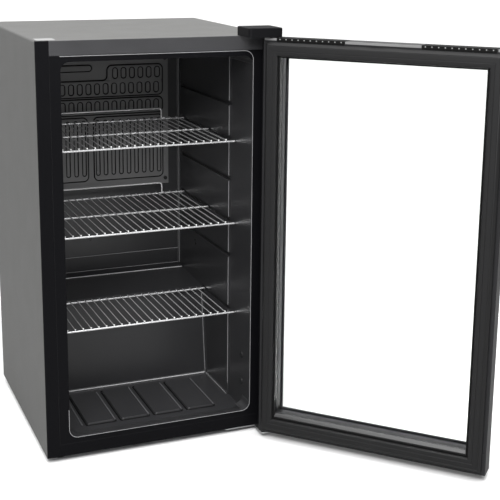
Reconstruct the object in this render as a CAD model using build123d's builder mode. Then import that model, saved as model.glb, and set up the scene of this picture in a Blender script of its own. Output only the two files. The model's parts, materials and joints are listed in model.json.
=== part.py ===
"""Glass door merchandiser: an upright refrigerated cabinet with one swinging glass door.

Millimetres. +X is to the right as a customer faces the door, +Y runs from the door to the back,
+Z is up. The origin is on the floor, under the centre of the cabinet's footprint.
The door is built shut and then swung to its resting angle about the hinge pins.
"""

import os

from build123d import *

os.makedirs("parts", exist_ok=True)

# ---------------------------------------------------------------- driving dimensions
CASE_WIDTH = 480.0
CASE_DEPTH = 470.0
CASE_TOP = 840.0
FOOT_HEIGHT = 12.0
SHEET = 1.0
CASE_BEND = 3.0

SIDE = CASE_WIDTH / 2
FRONT = -CASE_DEPTH / 2
BACK = CASE_DEPTH / 2
FASCIA = 2.0  # thickness of the dark strips on the front of the case
REAR_FACE = BACK - 3.0  # outer face of the panels that close the back

STILE_FACE = 26.0  # visible width of the side strips
RAIL_TOP_FACE = 28.0
RAIL_BOTTOM_FACE = 26.0

LINER_WALL = 2.0
STORE_HALF = 190.0  # half the storage width behind the side steps
MOUTH_HALF = 193.0  # half the storage width at the door
STEP_Y = FRONT + 118.0
STORE_BACK = FRONT + 438.0
FLOOR_Z = 37.0
LIP_Z = 50.0
CEILING_Z = 800.0
HUMP_FOOT_Y = FRONT + 255.0
HUMP_EDGE_Y = FRONT + 282.0
HUMP_EDGE_Z = 240.0
HUMP_REAR_Z = 250.0
GUTTER_Z = 242.0
GUTTER_WIDTH = 26.0

RUNNER_END = FRONT + 425.0
LOW_RUNNER_END = HUMP_EDGE_Y - 4.0
RUNNERS = (  # shelf level and rear end of each pair of side grooves
    (238.0, LOW_RUNNER_END),
    (358.0, RUNNER_END),
    (436.0, RUNNER_END),
    (526.0, RUNNER_END),
    (613.0, RUNNER_END),
    (687.0, RUNNER_END),
)
RUNNER_HEIGHT = 9.0
RUNNER_DEPTH = 6.0

BAY_FRONT = FRONT + 325.0  # compressor bay
BAY_TOP = 205.0
PARTITION = 0.8
CONDENSER_GAP = 7.0

DOOR_WIDTH = 480.0
DOOR_BOTTOM = 14.0
DOOR_TOP = CASE_TOP - 1.5
DOOR_THICK = 38.0
GASKET_THICK = 12.0
DOOR_INNER_Y = FRONT - GASKET_THICK
DOOR_OUTER_Y = DOOR_INNER_Y - DOOR_THICK
DOOR_STILE = 40.0
DOOR_TOP_BORDER = 38.0
DOOR_BOTTOM_BORDER = 47.0
TOP_CAP_HEIGHT = 38.0
BOTTOM_CAP_HEIGHT = 44.0
DOOR_ANGLE = 133.3  # how far the door stands open at rest

PIVOT_X = SIDE - 15.0
PIVOT_Y = FRONT - 30.0
PIN_RADIUS = 4.0
PIN_CLEARANCE = 0.05

GLASS = 4.0
GLASS_GAP = 12.0
GLASS_OUTER_Y = DOOR_OUTER_Y + 4.0  # outer face of the outer pane
GLASS_OVERLAP = 12.0  # how far the panes reach behind the frame

SHELF_LEVELS = {"top": 613.0, "middle": 436.0, "lower": 238.0}
SHELF_FRONT = FRONT + 90.0
SHELF_MIDDLE = FRONT + 250.0
SHELF_BACK = FRONT + 412.0
LOWER_SHELF_BACK = FRONT + 270.0
WIRE = 4.0
ROD = 2.4
ROD_COUNT = 22
ROD_PITCH = 16.4
GUARD_RISE = 24.0
GUARD_HALF = 138.0


def save(part, name):
    """Label one finished sub-part and write it as its own STEP file."""
    part.label = name
    export_step(part, f"parts/{name}.step")


def swing(part):
    """Turn a door sub-part, built shut, to the door's resting angle."""
    return part.rotate(Axis((PIVOT_X, PIVOT_Y, 0), (0, 0, 1)), DOOR_ANGLE)


def front_plane(y):
    """A plane facing the customer, with its own x along +X and its own y along +Z."""
    return Plane(origin=(0, y, 0), x_dir=(1, 0, 0), z_dir=(0, -1, 0))


def side_plane(x):
    """A plane facing +X, with its own x along +Y and its own y along +Z."""
    return Plane(origin=(x, 0, 0), x_dir=(0, 1, 0), z_dir=(1, 0, 0))


# ---------------------------------------------------------------- case
CASE_HEIGHT = CASE_TOP - FOOT_HEIGHT
CASE_MID_Z = FOOT_HEIGHT + CASE_HEIGHT / 2
SHEET_FRONT = FRONT + FASCIA
SHEET_DEPTH = BACK - SHEET_FRONT

SCREW = 2.5
TOP_PLATE_SCREWS = ((180.0, FRONT + 10.0), (212.0, FRONT + 10.0))

# one sheet folded over the two sides and the top
with BuildPart() as outer_case:
    with BuildSketch(front_plane(SHEET_FRONT)):
        with Locations((0, CASE_MID_Z)):
            Rectangle(CASE_WIDTH, CASE_HEIGHT)
        with Locations((0, CASE_MID_Z - SHEET)):
            Rectangle(CASE_WIDTH - 2 * SHEET, CASE_HEIGHT, mode=Mode.SUBTRACT)
    extrude(amount=-SHEET_DEPTH)
    top_bends = outer_case.edges().filter_by(Axis.Y).group_by(Axis.Z)[-1]
    fillet(top_bends, CASE_BEND)
    with BuildSketch(Plane.XY.offset(CASE_TOP)):
        with Locations(*TOP_PLATE_SCREWS):
            Circle(SCREW + 0.1)
    extrude(amount=-SHEET, mode=Mode.SUBTRACT)
save(outer_case.part, "outer_case")

PAN_THICK = 1.2
PAN_TOP = FOOT_HEIGHT + PAN_THICK
PAN_UPSTAND = 18.0
INSIDE_HALF = SIDE - SHEET
FOOT_X = 208.0
FRONT_FOOT_Y = FRONT + 38.0
REAR_FOOT_Y = BACK - 38.0
STUD_RADIUS = 4.0
STUD_HOLE = 4.4
COMPRESSOR_X = -40.0
COMPRESSOR_Y = BACK - 78.0
GROMMET_SPAN_X = 150.0
GROMMET_SPAN_Y = 86.0
GROMMET_BOLT = 3.0

BRACKET_SCREWS = ((152.0, FRONT + 10.0), (182.0, FRONT + 10.0), (222.0, FRONT + 10.0))

# floor plate of the case, with a low upstand across the back
with BuildPart() as base_pan:
    with BuildSketch(Plane.XY.offset(FOOT_HEIGHT)):
        with Locations((0, (SHEET_FRONT + BACK) / 2)):
            Rectangle(2 * INSIDE_HALF, SHEET_DEPTH)
        with Locations(
            (-FOOT_X, FRONT_FOOT_Y),
            (FOOT_X, FRONT_FOOT_Y),
            (-FOOT_X, REAR_FOOT_Y),
            (FOOT_X, REAR_FOOT_Y),
        ):
            Circle(STUD_HOLE, mode=Mode.SUBTRACT)
        with Locations((COMPRESSOR_X, COMPRESSOR_Y)):
            with GridLocations(GROMMET_SPAN_X, GROMMET_SPAN_Y, 2, 2):
                Circle(GROMMET_BOLT + 0.1, mode=Mode.SUBTRACT)
        with Locations(*BRACKET_SCREWS):
            Circle(SCREW + 0.1, mode=Mode.SUBTRACT)
    extrude(amount=PAN_THICK)
    with BuildSketch(front_plane(REAR_FACE)):
        with Locations((0, PAN_TOP + PAN_UPSTAND / 2)):
            Rectangle(2 * INSIDE_HALF, PAN_UPSTAND)
    extrude(amount=PAN_THICK)
save(base_pan.part, "base_pan")

BACK_PANEL_BOTTOM = BAY_TOP
BACK_PANEL_THICK = 1.0
with BuildPart() as back_panel:
    with BuildSketch(front_plane(REAR_FACE - BACK_PANEL_THICK)):
        with Locations((0, (BACK_PANEL_BOTTOM + CASE_TOP - SHEET) / 2)):
            Rectangle(2 * INSIDE_HALF, CASE_TOP - SHEET - BACK_PANEL_BOTTOM)
    extrude(amount=-BACK_PANEL_THICK)
save(back_panel.part, "back_panel")

# ---------------------------------------------------------------- front strips
STRIP_BEND = 1.2
for side_name, side in (("left", -1), ("right", 1)):
    with BuildPart() as front_stile:
        with BuildSketch(front_plane(FRONT)):
            with Locations((side * (SIDE - STILE_FACE / 2), CASE_MID_Z)):
                Rectangle(STILE_FACE, CASE_HEIGHT)
        extrude(amount=-FASCIA)
        front_edges = front_stile.faces().sort_by(Axis.Y)[0].edges()
        chamfer(front_edges, STRIP_BEND / 2)
    save(front_stile.part, f"front_stile_{side_name}")

RAIL_LENGTH = CASE_WIDTH - 2 * STILE_FACE
for rail_name, low, high in (
    ("bottom", FOOT_HEIGHT, FOOT_HEIGHT + RAIL_BOTTOM_FACE),
    ("top", CASE_TOP - RAIL_TOP_FACE, CASE_TOP),
):
    with BuildPart() as front_rail:
        with BuildSketch(front_plane(FRONT)):
            with Locations((0, (low + high) / 2)):
                Rectangle(RAIL_LENGTH, high - low)
        extrude(amount=-FASCIA)
        front_edges = front_rail.faces().sort_by(Axis.Y)[0].edges()
        chamfer(front_edges, STRIP_BEND / 2)
    save(front_rail.part, f"front_rail_{rail_name}")

# ---------------------------------------------------------------- liner
LINER_FACE_Y = FRONT + 0.6
FLANGE_THICK = 1.6
MOUTH_TOP = CEILING_Z
FLOOR_START_Y = FRONT + 46.0
GUTTER_FRONT_Y = STORE_BACK - GUTTER_WIDTH


def storage_profile(grow, front_y, back_y, half):
    """Side view of the storage space from front_y to back_y, grown outwards, at x = -half."""
    with BuildSketch(side_plane(-half)) as profile:
        with BuildLine():
            Polyline(
                (FRONT - 60, LIP_Z),
                (FRONT + 6, LIP_Z),
                (FLOOR_START_Y, FLOOR_Z),
                (HUMP_FOOT_Y, FLOOR_Z),
                (HUMP_EDGE_Y, HUMP_EDGE_Z),
                (GUTTER_FRONT_Y, HUMP_REAR_Z),
                (GUTTER_FRONT_Y + 6, GUTTER_Z),
                (STORE_BACK, GUTTER_Z),
                (STORE_BACK, CEILING_Z),
                (FRONT - 60, MOUTH_TOP),
                close=True,
            )
        make_face()
        if grow:
            offset(amount=grow, kind=Kind.INTERSECTION)
        with Locations(((front_y + back_y) / 2, 430)):
            Rectangle(back_y - front_y, 900, mode=Mode.INTERSECT)
    return profile.sketch


PAD_HEIGHT = 4.0
PAD_WIDTH = 61.0
PAD_PITCH = 73.5
PAD_START_Y = FRONT + 71.0
PAD_END_Y = FRONT + 230.0
PAD_COUNT = 4
RUNNER_START = STEP_Y - 6.0
PLUG_Y = FRONT + 45.0
PLUG_LEVELS = (97.0, 157.0)
PLUG_RADIUS = 5.0
DRAIN_Y = STORE_BACK - 10.0
DRAIN_OUTER = 7.0
DRAIN_BORE = 5.0


def runner_blocks(grow):
    """The side grooves as solid blocks, each grown by grow on every side but the inner one."""
    with BuildPart() as blocks:
        for level, end_y in RUNNERS:
            low = level - WIRE / 2 - 0.3
            depth = RUNNER_DEPTH + grow + 3
            for side in (-1, 1):
                with Locations(
                    (
                        side * (STORE_HALF - 3 + depth / 2),
                        (RUNNER_START + end_y) / 2,
                        low + RUNNER_HEIGHT / 2,
                    )
                ):
                    Box(depth, end_y - RUNNER_START + 2 * grow, RUNNER_HEIGHT + 2 * grow)
    return blocks.part


with BuildPart() as inner_liner:
    # outside of the tub
    extrude(
        storage_profile(
            LINER_WALL, LINER_FACE_Y, STEP_Y + LINER_WALL, MOUTH_HALF + LINER_WALL
        ),
        amount=2 * (MOUTH_HALF + LINER_WALL),
    )
    extrude(
        storage_profile(
            LINER_WALL, STEP_Y, STORE_BACK + LINER_WALL, STORE_HALF + LINER_WALL
        ),
        amount=2 * (STORE_HALF + LINER_WALL),
    )
    add(runner_blocks(LINER_WALL))
    # flange that meets the front strips
    with BuildSketch(front_plane(LINER_FACE_Y)):
        with Locations((0, (CASE_TOP - RAIL_TOP_FACE + FOOT_HEIGHT + RAIL_BOTTOM_FACE) / 2)):
            Rectangle(
                RAIL_LENGTH,
                CASE_HEIGHT - RAIL_TOP_FACE - RAIL_BOTTOM_FACE,
            )
    extrude(amount=-FLANGE_THICK)
    # storage space
    extrude(
        storage_profile(0, FRONT - 10, STEP_Y, MOUTH_HALF),
        amount=2 * MOUTH_HALF,
        mode=Mode.SUBTRACT,
    )
    extrude(
        storage_profile(0, STEP_Y - 1, STORE_BACK, STORE_HALF),
        amount=2 * STORE_HALF,
        mode=Mode.SUBTRACT,
    )
    add(runner_blocks(0), mode=Mode.SUBTRACT)
    # raised pads on the floor
    with BuildSketch(Plane.XY.offset(FLOOR_Z)):
        with Locations((0, (PAD_START_Y + PAD_END_Y) / 2)):
            with GridLocations(PAD_PITCH, 1, PAD_COUNT, 1):
                RectangleRounded(PAD_WIDTH, PAD_END_Y - PAD_START_Y, 6)
    extrude(amount=PAD_HEIGHT, taper=25)
    with Locations((0, DRAIN_Y, GUTTER_Z)):
        Cylinder(DRAIN_BORE, 4 * LINER_WALL, mode=Mode.SUBTRACT)
    # plugged holes for wiring on both side walls
    for level in PLUG_LEVELS:
        with Locations(Location((0, PLUG_Y, level), (0, 90, 0))):
            Cylinder(PLUG_RADIUS, 2 * MOUTH_HALF + 20, mode=Mode.SUBTRACT)
save(inner_liner.part, "inner_liner")

# ---------------------------------------------------------------- insulation
FOAM_FRONT = LINER_FACE_Y + FLANGE_THICK
FOAM_BACK = REAR_FACE - BACK_PANEL_THICK - CONDENSER_GAP
FOAM_TOP = CASE_TOP - SHEET
STUD_POCKET = 7.0
STUD_POCKET_DEPTH = 36.0

# rigid foam that fills the wall between the sheet and the tub
with BuildPart() as insulation_foam:
    with BuildSketch(front_plane(FOAM_FRONT)):
        with Locations((0, (PAN_TOP + FOAM_TOP) / 2)):
            Rectangle(2 * INSIDE_HALF, FOAM_TOP - PAN_TOP)
    extrude(amount=FOAM_FRONT - FOAM_BACK)
    foam_top_edges = insulation_foam.edges().filter_by(Axis.Y).group_by(Axis.Z)[-1]
    fillet(foam_top_edges, CASE_BEND - SHEET)
    extrude(
        storage_profile(LINER_WALL, FRONT - 10, STEP_Y + LINER_WALL, MOUTH_HALF + LINER_WALL),
        amount=2 * (MOUTH_HALF + LINER_WALL),
        mode=Mode.SUBTRACT,
    )
    extrude(
        storage_profile(LINER_WALL, STEP_Y, STORE_BACK + LINER_WALL, STORE_HALF + LINER_WALL),
        amount=2 * (STORE_HALF + LINER_WALL),
        mode=Mode.SUBTRACT,
    )
    add(runner_blocks(LINER_WALL), mode=Mode.SUBTRACT)
    with Locations((0, (BAY_FRONT + BACK) / 2, (PAN_TOP + BAY_TOP) / 2)):
        Box(CASE_WIDTH, BACK - BAY_FRONT, BAY_TOP - PAN_TOP, mode=Mode.SUBTRACT)
    with Locations((0, DRAIN_Y, (BAY_TOP + GUTTER_Z) / 2)):
        Cylinder(DRAIN_OUTER, GUTTER_Z - BAY_TOP, mode=Mode.SUBTRACT)
    for side in (-1, 1):
        with Locations((side * FOOT_X, FRONT_FOOT_Y, PAN_TOP + STUD_POCKET_DEPTH / 2)):
            Cylinder(STUD_POCKET, STUD_POCKET_DEPTH, mode=Mode.SUBTRACT)
        for level in PLUG_LEVELS:
            with Locations(Location((side * (MOUTH_HALF + 6), PLUG_Y, level), (0, 90, 0))):
                Cylinder(PLUG_RADIUS, 14, mode=Mode.SUBTRACT)
save(insulation_foam.part, "insulation_foam")

# sheet that lines the compressor bay: its front wall and its ceiling
with BuildPart() as bay_partition:
    with BuildSketch(side_plane(-INSIDE_HALF)):
        with BuildLine():
            Polyline(
                (BAY_FRONT, PAN_TOP),
                (BAY_FRONT, BAY_TOP),
                (FOAM_BACK, BAY_TOP),
                (FOAM_BACK, BAY_TOP - PARTITION),
                (BAY_FRONT + PARTITION, BAY_TOP - PARTITION),
                (BAY_FRONT + PARTITION, PAN_TOP),
                close=True,
            )
        make_face()
    extrude(amount=2 * INSIDE_HALF)
    with Locations((0, DRAIN_Y, BAY_TOP - PARTITION / 2)):
        Cylinder(DRAIN_OUTER, 4 * PARTITION, mode=Mode.SUBTRACT)
save(bay_partition.part, "bay_partition")

DRAIN_END = BAY_TOP - 12.0
with BuildPart() as drain_tube:
    with BuildSketch(Plane.XY.offset(DRAIN_END)):
        with Locations((0, DRAIN_Y)):
            Circle(DRAIN_OUTER)
            Circle(DRAIN_BORE, mode=Mode.SUBTRACT)
    extrude(amount=GUTTER_Z - LINER_WALL - DRAIN_END)
save(drain_tube.part, "drain_tube")

# ---------------------------------------------------------------- evaporator
PLATE_HALF = 160.0
PLATE_LOW = 455.0
PLATE_HIGH = 765.0
PLATE_THICK = 1.5
PLATE_STANDOFF = 4.5
CHANNEL_RISE = 1.8
PLATE_BACK_Y = STORE_BACK - PLATE_STANDOFF
PLATE_FRONT_Y = PLATE_BACK_Y - PLATE_THICK
CHANNEL_HALF = 146.0
OVAL_WIDTH = 12.0
OVAL_HEIGHT = 25.0
OVAL_PITCH = 20.1
OVAL_COUNT = 14
HEADER_ROWS = (686.0, 645.0)
HEADER_HEIGHT = 36.0
TOP_HEADER_Z = 722.0
TOP_HEADER_LEFT = 20.0
TOP_OVAL_COUNT = 6
BAR_LOW = 485.0
BAR_HIGH = 622.0
BAR_FIELD_LOW = 473.0
BAR_SPLIT = -27.0
BAR_GAP = 14.0
CLIP_X = 152.0
CLIP_LEVELS = (468.0, 752.0)

# roll-bonded plate: raised refrigerant channels around flat islands
with BuildPart() as evaporator_plate:
    with BuildSketch(front_plane(PLATE_FRONT_Y)):
        with Locations((0, (PLATE_LOW + PLATE_HIGH) / 2)):
            RectangleRounded(2 * PLATE_HALF, PLATE_HIGH - PLATE_LOW, 8)
        for level in CLIP_LEVELS:
            with Locations((-CLIP_X, level), (CLIP_X, level)):
                Circle(2.1, mode=Mode.SUBTRACT)
    extrude(amount=-PLATE_THICK)
    with BuildSketch(front_plane(PLATE_FRONT_Y)) as headers:
        for row in HEADER_ROWS:
            with Locations((0, row)):
                RectangleRounded(2 * CHANNEL_HALF, HEADER_HEIGHT, 12)
                with GridLocations(OVAL_PITCH, 1, OVAL_COUNT, 1):
                    SlotOverall(OVAL_HEIGHT, OVAL_WIDTH, rotation=90, mode=Mode.SUBTRACT)
        with Locations(((TOP_HEADER_LEFT + CHANNEL_HALF) / 2, TOP_HEADER_Z)):
            RectangleRounded(CHANNEL_HALF - TOP_HEADER_LEFT, HEADER_HEIGHT - 4, 12)
            with GridLocations(OVAL_PITCH, 1, TOP_OVAL_COUNT, 1):
                SlotOverall(OVAL_HEIGHT, OVAL_WIDTH, rotation=90, mode=Mode.SUBTRACT)
    extrude(amount=CHANNEL_RISE)
    field_middle = (BAR_FIELD_LOW + BAR_HIGH) / 2
    field_height = BAR_HIGH - BAR_FIELD_LOW
    for left, right, bars in (
        (-CHANNEL_HALF, BAR_SPLIT - BAR_GAP / 2, 6),
        (BAR_SPLIT + BAR_GAP / 2, CHANNEL_HALF, 9),
    ):
        with BuildSketch(front_plane(PLATE_FRONT_Y)):
            with Locations(((left + right) / 2, field_middle)):
                RectangleRounded(right - left, field_height, 10)
            with Locations(((left + right) / 2, (BAR_LOW + BAR_HIGH - 8) / 2)):
                with GridLocations((right - left) / bars, 1, bars, 1):
                    SlotOverall(
                        BAR_HIGH - 8 - BAR_LOW, 9, rotation=90, mode=Mode.SUBTRACT
                    )
        extrude(amount=CHANNEL_RISE)
save(evaporator_plate.part, "evaporator_plate")

CLIP_HEAD = 4.5
with BuildPart() as evaporator_clips:
    for level in CLIP_LEVELS:
        for side in (-1, 1):
            with BuildSketch(front_plane(PLATE_FRONT_Y)):
                with Locations((side * CLIP_X, level)):
                    Circle(CLIP_HEAD)
            extrude(amount=2)
            with BuildSketch(front_plane(PLATE_FRONT_Y)):
                with Locations((side * CLIP_X, level)):
                    Circle(2)
            extrude(amount=-PLATE_THICK)
            with BuildSketch(front_plane(PLATE_BACK_Y)):
                with Locations((side * CLIP_X, level)):
                    Circle(4)
            extrude(amount=-PLATE_STANDOFF)
save(evaporator_clips.part, "evaporator_clips")

# ---------------------------------------------------------------- control box and lamp
BOX_HALF = 65.0
BOX_FRONT_Y = STORE_BACK - 150.0
BOX_BACK_Y = STORE_BACK - 60.0
BOX_LOW = 768.0
BOX_WALL = 2.0
KNOB_X = 42.0
KNOB_RADIUS = 13.0
KNOB_DEPTH = 12.0
SPINDLE = 3.0
BOX_MID_Z = (BOX_LOW + CEILING_Z) / 2
KNOB_Z = BOX_MID_Z
LENS_THICK = 2.0
LENS_CENTRE_X = -18.0
LENS_LENGTH = 84.0
BULB_RADIUS = 7.0

with BuildPart() as control_box:
    with Locations((0, (BOX_FRONT_Y + BOX_BACK_Y) / 2, BOX_MID_Z)):
        Box(2 * BOX_HALF, BOX_BACK_Y - BOX_FRONT_Y, CEILING_Z - BOX_LOW)
        Box(
            2 * (BOX_HALF - BOX_WALL),
            BOX_BACK_Y - BOX_FRONT_Y - 2 * BOX_WALL,
            CEILING_Z - BOX_LOW - 2 * BOX_WALL,
            mode=Mode.SUBTRACT,
        )
    with Locations((LENS_CENTRE_X, (BOX_FRONT_Y + BOX_BACK_Y) / 2, BOX_LOW)):
        Box(LENS_LENGTH - 6, 54, 3 * BOX_WALL, mode=Mode.SUBTRACT)
    with Locations(Location((KNOB_X, BOX_FRONT_Y, KNOB_Z), (90, 0, 0))):
        Cylinder(SPINDLE + PIN_CLEARANCE, 4 * BOX_WALL, mode=Mode.SUBTRACT)
save(control_box.part, "control_box")

with BuildPart() as lamp_lens:
    with BuildSketch(Plane.XY.offset(BOX_LOW - LENS_THICK)):
        with Locations((LENS_CENTRE_X, (BOX_FRONT_Y + BOX_BACK_Y) / 2)):
            RectangleRounded(LENS_LENGTH, 60, 6)
    extrude(amount=LENS_THICK)
save(lamp_lens.part, "lamp_lens")

LAMP_Y = (BOX_FRONT_Y + BOX_BACK_Y) / 2
with BuildPart() as lamp_bulb:
    with Locations(Location((LENS_CENTRE_X - 26, LAMP_Y, BOX_MID_Z), (0, 90, 0))):
        Cylinder(BULB_RADIUS + 2, 26)
    with Locations(Location((LENS_CENTRE_X + 4, LAMP_Y, BOX_MID_Z), (0, 90, 0))):
        Cylinder(BULB_RADIUS, 34)
save(lamp_bulb.part, "lamp_bulb")

with BuildPart() as thermostat_knob:
    with BuildSketch(front_plane(BOX_FRONT_Y - 0.5)):
        with Locations((KNOB_X, KNOB_Z)):
            Circle(KNOB_RADIUS)
    extrude(amount=KNOB_DEPTH, taper=4)
    with BuildSketch(front_plane(BOX_FRONT_Y - 0.5)):
        with Locations((KNOB_X, KNOB_Z)):
            Circle(SPINDLE)
    extrude(amount=-12)
    with BuildSketch(front_plane(BOX_FRONT_Y - 0.5 - KNOB_DEPTH)):
        with Locations((KNOB_X, KNOB_Z)):
            Rectangle(3, 2 * KNOB_RADIUS - 4)
    extrude(amount=2.5)
save(thermostat_knob.part, "thermostat_knob")

with BuildPart() as liner_plugs:
    for side in (-1, 1):
        for level in PLUG_LEVELS:
            with BuildSketch(side_plane(side * MOUTH_HALF)):
                with Locations((PLUG_Y, level)):
                    Circle(PLUG_RADIUS + 2.5)
            extrude(amount=-side * 1.5)
            with BuildSketch(side_plane(side * MOUTH_HALF)):
                with Locations((PLUG_Y, level)):
                    Circle(PLUG_RADIUS - 0.1)
            extrude(amount=side * 9)
save(liner_plugs.part, "liner_plugs")

# ---------------------------------------------------------------- hinges
HINGE_PLATE = 3.0
COVER_LEFT = SIDE - 75.0
COVER_RIGHT = SIDE - 4.0
COVER_FRONT = PIVOT_Y - 19.0
COVER_REAR = FRONT + 18.0
COVER_TOP = CASE_TOP + 18.0
COVER_WALL = 2.0
PIN_REACH = 20.0
RIVET_RADIUS = 6.5
BUSH_RADIUS = 7.0
BUSH_FLANGE = 10.0
BUSH_FLANGE_THICK = 1.0
BRACKET_TOP = FOOT_HEIGHT
BRACKET_LEFT = SIDE - 100.0
BRACKET_REAR = FRONT + 17.0
BRACKET_ARM = 30.0

with BuildPart() as top_hinge_plate:
    with BuildSketch(Plane.XY.offset(CASE_TOP)):
        with Locations(((COVER_LEFT + COVER_RIGHT) / 2, (COVER_FRONT + COVER_REAR) / 2)):
            RectangleRounded(
                COVER_RIGHT - COVER_LEFT - 8, COVER_REAR - COVER_FRONT - 8, 8
            )
        with Locations(*TOP_PLATE_SCREWS):
            Circle(SCREW + 0.1, mode=Mode.SUBTRACT)
        with Locations((PIVOT_X, PIVOT_Y)):
            Circle(PIN_RADIUS, mode=Mode.SUBTRACT)
    extrude(amount=HINGE_PLATE)
save(top_hinge_plate.part, "top_hinge_plate")

with BuildPart() as top_hinge_pin:
    with BuildSketch(Plane.XY.offset(CASE_TOP - PIN_REACH)):
        with Locations((PIVOT_X, PIVOT_Y)):
            Circle(PIN_RADIUS)
    extrude(amount=PIN_REACH + HINGE_PLATE)
    with BuildSketch(Plane.XY.offset(CASE_TOP + HINGE_PLATE)):
        with Locations((PIVOT_X, PIVOT_Y)):
            Circle(RIVET_RADIUS)
    extrude(amount=2)
save(top_hinge_pin.part, "top_hinge_pin")

with BuildPart() as top_hinge_cover:
    with BuildSketch(Plane.XY.offset(CASE_TOP)):
        with Locations(((COVER_LEFT + COVER_RIGHT) / 2, (COVER_FRONT + COVER_REAR) / 2)):
            RectangleRounded(COVER_RIGHT - COVER_LEFT, COVER_REAR - COVER_FRONT, 6)
    extrude(amount=COVER_TOP - CASE_TOP)
    fillet(top_hinge_cover.faces().sort_by(Axis.Z)[-1].edges(), 2)
    with BuildSketch(Plane.XY.offset(CASE_TOP)):
        with Locations(((COVER_LEFT + COVER_RIGHT) / 2, (COVER_FRONT + COVER_REAR) / 2)):
            RectangleRounded(
                COVER_RIGHT - COVER_LEFT - 2 * COVER_WALL,
                COVER_REAR - COVER_FRONT - 2 * COVER_WALL,
                5,
            )
    extrude(amount=COVER_TOP - CASE_TOP - COVER_WALL, mode=Mode.SUBTRACT)
save(top_hinge_cover.part, "top_hinge_cover")

# L-shaped bracket under the front edge of the base
with BuildPart() as bottom_hinge_bracket:
    with BuildSketch(Plane.XY.offset(BRACKET_TOP - HINGE_PLATE)):
        with Locations(
            ((BRACKET_LEFT + COVER_RIGHT) / 2, (SHEET_FRONT + BRACKET_REAR) / 2)
        ):
            RectangleRounded(COVER_RIGHT - BRACKET_LEFT, BRACKET_REAR - SHEET_FRONT, 3)
        with Locations((COVER_RIGHT - BRACKET_ARM / 2, (PIVOT_Y - 12 + BRACKET_REAR) / 2)):
            RectangleRounded(BRACKET_ARM, BRACKET_REAR - PIVOT_Y + 12, 6)
        with Locations(*BRACKET_SCREWS):
            Circle(SCREW + 0.1, mode=Mode.SUBTRACT)
        with Locations((PIVOT_X, PIVOT_Y)):
            Circle(PIN_RADIUS, mode=Mode.SUBTRACT)
    extrude(amount=HINGE_PLATE)
save(bottom_hinge_bracket.part, "bottom_hinge_bracket")

BOTTOM_PIN_TOP = DOOR_BOTTOM + PIN_REACH
with BuildPart() as bottom_hinge_pin:
    with BuildSketch(Plane.XY.offset(BRACKET_TOP - HINGE_PLATE)):
        with Locations((PIVOT_X, PIVOT_Y)):
            Circle(PIN_RADIUS)
    extrude(amount=BOTTOM_PIN_TOP - BRACKET_TOP + HINGE_PLATE)
    with BuildSketch(Plane.XY.offset(BRACKET_TOP - HINGE_PLATE)):
        with Locations((PIVOT_X, PIVOT_Y)):
            Circle(RIVET_RADIUS)
    extrude(amount=-2)
save(bottom_hinge_pin.part, "bottom_hinge_pin")

# screws of both hinges
SCREW_HEAD = 4.5
SCREW_HEAD_HEIGHT = 2.5
with BuildPart() as hinge_screws:
    for place in BRACKET_SCREWS:
        with BuildSketch(Plane.XY.offset(BRACKET_TOP - HINGE_PLATE)):
            with Locations(place):
                Circle(SCREW)
        extrude(amount=HINGE_PLATE + PAN_THICK)
        with BuildSketch(Plane.XY.offset(BRACKET_TOP - HINGE_PLATE)):
            with Locations(place):
                Circle(SCREW_HEAD)
        extrude(amount=-SCREW_HEAD_HEIGHT)
    for place in TOP_PLATE_SCREWS:
        with BuildSketch(Plane.XY.offset(CASE_TOP - SHEET)):
            with Locations(place):
                Circle(SCREW)
        extrude(amount=SHEET + HINGE_PLATE)
        with BuildSketch(Plane.XY.offset(CASE_TOP + HINGE_PLATE)):
            with Locations(place):
                Circle(SCREW_HEAD)
        extrude(amount=SCREW_HEAD_HEIGHT)
save(hinge_screws.part, "hinge_screws")

# plate that closes the unused hinge holes at the other top corner
with BuildPart() as hinge_hole_cover:
    with BuildSketch(Plane.XY.offset(CASE_TOP)):
        with Locations((-SIDE + 22, FRONT + 20)):
            RectangleRounded(36, 30, 3)
    extrude(amount=1.5)
save(hinge_hole_cover.part, "hinge_hole_cover")

# ---------------------------------------------------------------- feet
FOOT_RADIUS = 16.0
FOOT_PAD = 8.0
FOOT_PLAY = 0.3
NUT_RADIUS = 7.5
for side_name, side in (("left", -1), ("right", 1)):
    with BuildPart() as front_foot:
        with BuildSketch(Plane.XY):
            with Locations((side * FOOT_X, FRONT_FOOT_Y)):
                Circle(FOOT_RADIUS)
        extrude(amount=FOOT_PAD)
        chamfer(front_foot.faces().sort_by(Axis.Z)[-1].edges(), 2)
        with BuildSketch(Plane.XY.offset(FOOT_PAD)):
            with Locations((side * FOOT_X, FRONT_FOOT_Y)):
                RegularPolygon(NUT_RADIUS, 6)
        extrude(amount=FOOT_HEIGHT - FOOT_PLAY - FOOT_PAD)
        with BuildSketch(Plane.XY.offset(FOOT_PAD)):
            with Locations((side * FOOT_X, FRONT_FOOT_Y)):
                Circle(STUD_RADIUS)
        extrude(amount=30)
    save(front_foot.part, f"front_foot_{side_name}")

with BuildPart() as rear_feet:
    for side in (-1, 1):
        with BuildSketch(Plane.XY):
            with Locations((side * FOOT_X, REAR_FOOT_Y)):
                Circle(FOOT_RADIUS)
        extrude(amount=FOOT_HEIGHT)
        with BuildSketch(Plane.XY):
            with Locations((side * FOOT_X, REAR_FOOT_Y)):
                Circle(STUD_RADIUS)
        extrude(amount=PAN_TOP + 4)
save(rear_feet.part, "rear_feet")

# ---------------------------------------------------------------- compressor bay
GROMMET_HEIGHT = 12.0
GROMMET_RADIUS = 9.0
MOUNT_PLATE_Z = PAN_TOP + GROMMET_HEIGHT
MOUNT_PLATE = 2.5
SHELL_RADIUS = 56.0
SHELL_TOP = 168.0
SHELL_DOME = 22.0
LINE_RADIUS = 3.0
LINE_Z = 120.0

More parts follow.
